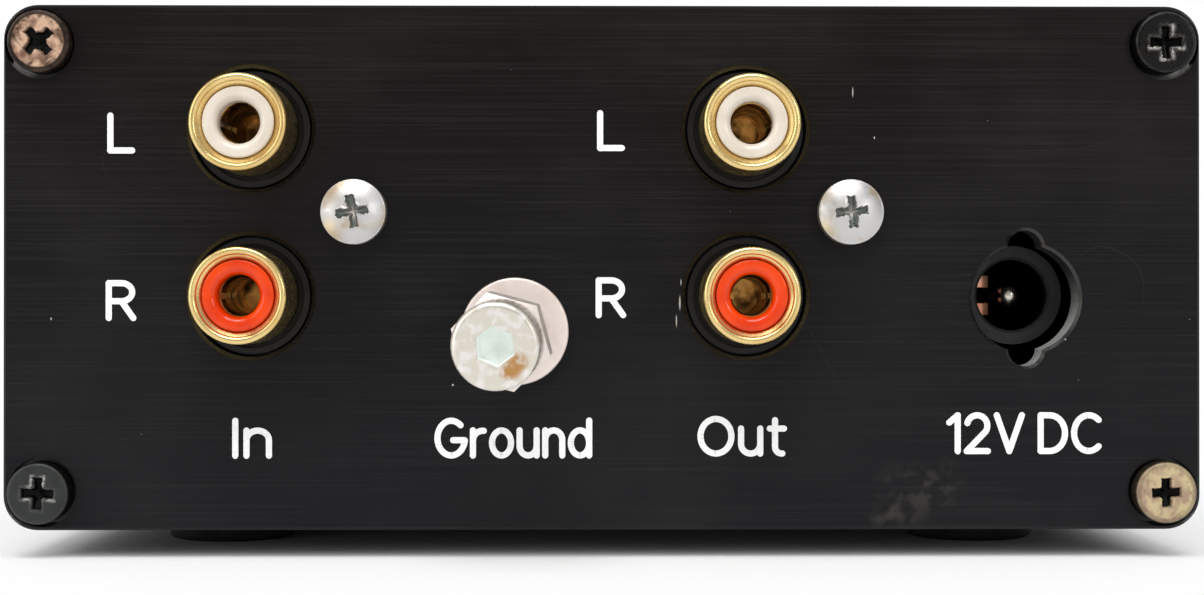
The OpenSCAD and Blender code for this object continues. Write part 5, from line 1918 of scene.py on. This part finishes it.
# Plain round-ended letters for the connectors' functions: width, then pen strokes. No stroke has
# a sharp corner: where two straight runs meet, two strokes end on the same point.
LETTERS: dict[str, tuple[float, list[np.ndarray]]] = {
    "L": (0.62, [line((0, 1), (0, 0)), line((0, 0), (0.62, 0))]),
    "R": (0.66, [line((0, 0), (0, 1)),
                 joined(line((0, 1), (0.34, 1)), arc((0.34, 0.74), 0.29, 0.26, 90, -90),
                        line((0.34, 0.48), (0, 0.48))),
                 line((0.34, 0.48), (0.66, 0))]),
    "I": (0.0, [line((0, 0), (0, 1))]),
    "n": (0.52, [line((0, 0), (0, 0.72)), joined(arc((0.26, 0.44), 0.26, 0.28, 180, 0),
                                               line((0.52, 0.44), (0.52, 0)))]),
    "G": (0.82, [arc((0.42, 0.5), 0.42, 0.5, 48, 352), line((0.82, 0.44), (0.48, 0.44))]),
    "r": (0.32, [line((0, 0), (0, 0.72)), arc((0.3, 0.42), 0.3, 0.29, 180, 85)]),
    "o": (0.58, [arc((0.29, 0.36), 0.29, 0.36, 0, 360)]),
    "u": (0.52, [joined(line((0, 0.72), (0, 0.28)), arc((0.26, 0.28), 0.26, 0.28, 180, 360)),
                 line((0.52, 0.72), (0.52, 0))]),
    "d": (0.56, [arc((0.28, 0.36), 0.28, 0.36, 0, 360), line((0.56, 1), (0.56, 0))]),
    "O": (0.84, [arc((0.42, 0.5), 0.42, 0.5, 0, 360)]),
    "t": (0.4, [joined(line((0.14, 0.96), (0.14, 0.2)), arc((0.32, 0.2), 0.18, 0.2, 180, 275)),
                line((0, 0.72), (0.38, 0.72))]),
    "1": (0.24, [line((0, 0.8), (0.24, 1)), line((0.24, 1), (0.24, 0))]),
    "2": (0.6, [joined(arc((0.3, 0.71), 0.29, 0.29, 165, -35), line((0, 0))), line((0, 0), (0.6, 0))]),
    "V": (0.72, [line((0, 1), (0.36, 0)), line((0.36, 0), (0.72, 1))]),
    "D": (0.7, [line((0, 0), (0, 1)),
                joined(line((0, 1), (0.26, 1)), arc((0.26, 0.5), 0.44, 0.5, 90, -90),
                       line((0.26, 0), (0, 0)))]),
    "C": (0.8, [arc((0.42, 0.5), 0.42, 0.5, 48, 312)]),
    " ": (0.02, []),
}


@dataclass(frozen=True)
class Legend:
    """One printed word on the rear plate, drawn with a round pen."""

    text: str
    name: str
    middle_x: float
    width: float
    low_z: float
    height: float
    pen: float = 0.56
    spacing: float = 0.26
    thick: float = 0.03

    def strokes(self) -> list[np.ndarray]:
        """Returns the pen's paths in millimetres on the plate, letters set to the word's width.

        Returns:
            One array of points (x, z) for each stroke.
        """
        offset, placed = 0.0, []
        for letter in self.text:
            width, paths = LETTERS[letter]
            placed += [path + [offset, 0] for path in paths]
            offset += width + self.spacing
        natural = offset - self.spacing
        across, up = self.width - self.pen, self.height - self.pen
        left = self.middle_x - across / 2
        return [path * [across / natural, up] + [left, self.low_z + self.pen / 2] for path in placed]

    def ribbon(self, path: np.ndarray, lift: float) -> Sheet:
        """Carries the pen's section along one stroke.

        The stroke's half width is half the pen times the cosine of an angle that falls to 90
        degrees over half a pen's length past each end, which makes the ends round. A stroke that
        ends where it starts is carried round without ends.

        Args:
            path: Points (x, z) of the stroke's middle.
            lift: Height of the ink's face above the plate.

        Returns:
            The closed ribbon on the plate's own axes.
        """
        step = np.concatenate([[0], np.cumsum(np.linalg.norm(np.diff(path, axis=0), axis=1))])
        even = np.unique(np.concatenate([np.linspace(0, step[-1], 24), step]).round(6))
        dense = np.stack([np.interp(even, step, path[:, k]) for k in (0, 1)], -1)
        across = np.array([-1.0, -0.94, 0.94, 1.0]) * self.pen / 2
        level = np.array([-0.02, lift, lift, -0.02])
        loop = bool(np.allclose(path[0], path[-1]))
        if loop:
            centre = dense[:-1]
            tangent = np.roll(centre, -1, 0) - np.roll(centre, 1, 0)
            share = np.ones(len(centre))
        else:
            tangent = np.gradient(dense, axis=0)
            angle = np.radians([88.0, 66.0, 44.0, 22.0])
            reach = self.pen / 2 * np.sin(angle)[:, None]
            unit = tangent[[0, -1]] / np.linalg.norm(tangent[[0, -1]], axis=1, keepdims=True)
            centre = np.concatenate([dense[0] - unit[0] * reach, dense, dense[-1] + unit[1] * reach[::-1]])
            tangent = np.concatenate([np.repeat(unit[:1], 4, 0), tangent, np.repeat(unit[1:], 4, 0)])
            share = np.concatenate([np.cos(angle), np.ones(len(dense)), np.cos(angle[::-1])])
        tangent = tangent / np.linalg.norm(tangent, axis=1, keepdims=True)
        normal = np.stack([-tangent[:, 1], tangent[:, 0]], -1)
        flat = centre[:, None] + normal[:, None] * (share[:, None] * across)[..., None]
        points = np.concatenate([flat, np.broadcast_to(level, flat.shape[:2])[..., None]], -1)
        return Sheet(points, rows_close=True) if loop else Sheet(capped(points))

    def build(self) -> bpy.types.Object:
        """Builds the word, each stroke a hair higher than the one before it."""
        sheets = [self.ribbon(path, self.thick + 0.002 * i) for i, path in enumerate(self.strokes())]
        return make_piece(self.name, sheets, on_rear(0, 0), LEGEND_WHITE, "rear_plate", stands_for=False)


@dataclass(frozen=True)
class Legends:
    """All words on the rear plate, each set by the connector that it names."""

    cap: float = 3.6
    word_z: float = 8.75
    letter_drop: float = 2.2

    def build(self) -> None:
        """Builds the letters beside the phono sockets and the words under the connectors."""
        for pair, aside, drop in (("in", -11.3, 0.0), ("out", -11.85, -0.25)):
            for side, letter, width in (("l", "L", 2.45), ("r", "R", 2.7)):
                x, _, z = node_middle(f"rca_insulator_{pair}_{side}")
                base = z - self.letter_drop - drop
                Legend(letter, f"legend_{letter}_{pair}", x + aside, width, base, self.cap).build()
        words = (
            ("In", "legend_input", "rca_insulator_in_l", 0.15, 3.5, 0.0, 0.0),
            ("Ground", "legend_ground", "ground_washer", -0.15, 13.85, 0.0, 0.0),
            ("Out", "legend_output", "rca_insulator_out_l", -0.3, 7.95, 0.15, 0.0),
            ("12V DC", "legend_power", "dc_centre_pin", 0.0, 14.0, 0.35, 0.1),
        )
        for text, name, node, aside, width, lift, taller in words:
            x = node_middle(node)[0] + aside
            Legend(text, name, x, width, self.word_z + lift, self.cap + taller).build()


# ---- Studio ---------------------------------------------------------------------------------


@dataclass(frozen=True)
class PaleFloor(Finish):
    """White sweep: lit paper near the case, glowing as painted light from just under the case's edge, and
    plain white away from it.
    """

    # painted light: the paper glows from 6 mm under the case to 4 mm past it, over the case's shadow
    foot: tuple[float, float] = (-0.006, 0.004)
    open_floor: tuple[float, float] = (0.0, 0.03)
    painted_foot_light_share: float = 0.6
    paper: tuple[tuple, tuple] = (tone(243, 243, 243), tone(248, 248, 248))

    def shade(self, w: Wiring, at: bpy.types.NodeSocket) -> bpy.types.NodeSocket:
        """Wires lit paper that turns to plain white with the distance from the case's footprint; its first
        rise, from 6 mm inside to 4 mm outside the footprint, is painted light over the case's shadow.

        Args:
            w: The material's wiring.
            at: The surface's place in the frame, in metres.

        Returns:
            The shader's output.
        """
        x, y, _ = w.axes(at)
        past_x = w.less(w.math("ABSOLUTE", x), HALF_CASE[0])
        past_y = w.less(w.math("ABSOLUTE", y), -REAR_Y * MM)
        away = w.math("MAXIMUM", past_x, past_y)
        # painted light: glow at the case's foot that lifts its shadow there
        near = w.ease(away, *self.foot, 0.0, self.painted_foot_light_share)
        share = w.math("ADD", near, w.ease(away, *self.open_floor, 0.0, 1 - self.painted_foot_light_share))
        colour = w.blend(w.ease(w.noise(at, 900.0, 3.0), *NOISE_SPAN), *self.paper)
        sheet = w.principled({"Base Color": colour, "Roughness": 0.8, "Specular IOR Level": 0.2})
        glow = w.add("Emission", {"Color": (1, 1, 1, 1), "Strength": 1.0})
        return w.add("MixShader", {0: share, 1: sheet, 2: glow.outputs[0]}).outputs[0]


@dataclass(frozen=True)
class SoftLight:
    """Rectangular soft light that faces the connectors."""

    name: str
    place: tuple[float, float, float]
    size: tuple[float, float]
    watts: float
    colour: tuple[float, float, float] = (1.0, 1.0, 1.0)
    aim: tuple[float, float, float] = (0.0, -0.04, 0.02)

    def build(self) -> None:
        """Hangs the light and turns it to its aim."""
        data = bpy.data.lights.new(self.name, "AREA")
        data.shape, data.energy, data.color = "RECTANGLE", self.watts, self.colour
        data.size, data.size_y = self.size
        light = bpy.data.objects.new(self.name, data)
        light.location = self.place
        away = np.array(self.place) - np.array(self.aim)
        light.rotation_euler = (
            math.acos(away[2] / np.linalg.norm(away)), 0, math.atan2(away[0], -away[1])
        )
        bpy.context.scene.collection.objects.link(light)


@dataclass(frozen=True)
class Studio:
    """White sweep, soft lights, plain surroundings and the photograph's camera."""

    sky: float = 0.46
    camera_at: tuple[float, float, float] = (-0.00198, -0.2266, 0.0222)
    lens: float = 59.3
    yaw: float = -0.61
    pitch: float = 0.22
    lights: tuple[SoftLight, ...] = (
        SoftLight("overhead", (-0.05, -0.34, 0.52), (0.42, 0.26), 2.3),
        SoftLight("left_side", (-0.52, -0.36, 0.22), (0.34, 0.5), 1.0),
        SoftLight("right_front", (0.3, -0.44, 0.14), (0.1, 0.1), 0.26),
    )

    def build(self) -> None:
        """Builds the studio."""
        self.sweep()
        for light in self.lights:
            light.build()
        self.surroundings()
        self.camera()

    def sweep(self) -> None:
        """Carries a line across the floor and up the backdrop, joined by a quarter circle."""
        curve = fillet([(-2.0, 0.0, 0), (1.4, 0.0, 0.5), (1.4, 2.2, 0)])
        across = np.linspace(-2.4, 2.4, 9)
        flat = 0 * across
        points = np.stack([across + 0 * curve[:, :1], curve[:, :1] + flat, curve[:, 1:] + flat], -1)
        sheet = Sheet(points, columns_close=False)
        mesh = bpy.data.meshes.new("white_sweep")
        mesh.from_pydata(points.reshape(-1, 3).tolist(), [], sheet.quads(0).tolist())
        mesh.shade_smooth()
        mesh.materials.append(PaleFloor("white_paper").material())
        floor = bpy.data.objects.new("white_sweep", mesh)
        bpy.context.scene.collection.objects.link(floor)

    def surroundings(self) -> None:
        """Sets the plain light that comes from all round, which the camera itself sees as white."""
        world = bpy.data.worlds.new("surroundings")
        world.use_nodes = True
        world.node_tree.nodes.clear()
        w = Wiring(world.node_tree)
        seen = w.add("LightPath").outputs["Is Camera Ray"]
        backdrop = {"Color": (1, 1, 1, 1), "Strength": w.ease(seen, 0.0, 1.0, self.sky, 1.0)}
        w.add("OutputWorld", {0: w.add("Background", backdrop).outputs[0]})
        bpy.context.scene.world = world

    def camera(self) -> None:
        """Places the camera where the photograph was taken from."""
        data = bpy.data.cameras.new("camera")
        data.lens, data.sensor_width, data.clip_start = self.lens, 36.0, 0.005
        camera = bpy.data.objects.new("camera", data)
        camera.location = self.camera_at
        camera.rotation_euler = (math.radians(90 + self.pitch), 0, math.radians(self.yaw))
        bpy.context.scene.collection.objects.link(camera)
        bpy.context.scene.camera = camera
        bpy.context.scene.view_settings.view_transform = "Standard"


def main() -> None:
    """Builds the sub-assemblies in order, then the studio."""
    logging.basicConfig(level=logging.INFO, format="%(name)s %(message)s")
    dress_cad_nodes()
    CornerScrews().build()
    PhonoPairs().build()
    PowerSocket().build()
    GroundTerminal().build()
    Feet().build()
    FrontLamp().build()
    Legends().build()
    Studio().build()


if __name__ == "__main__":
    main()
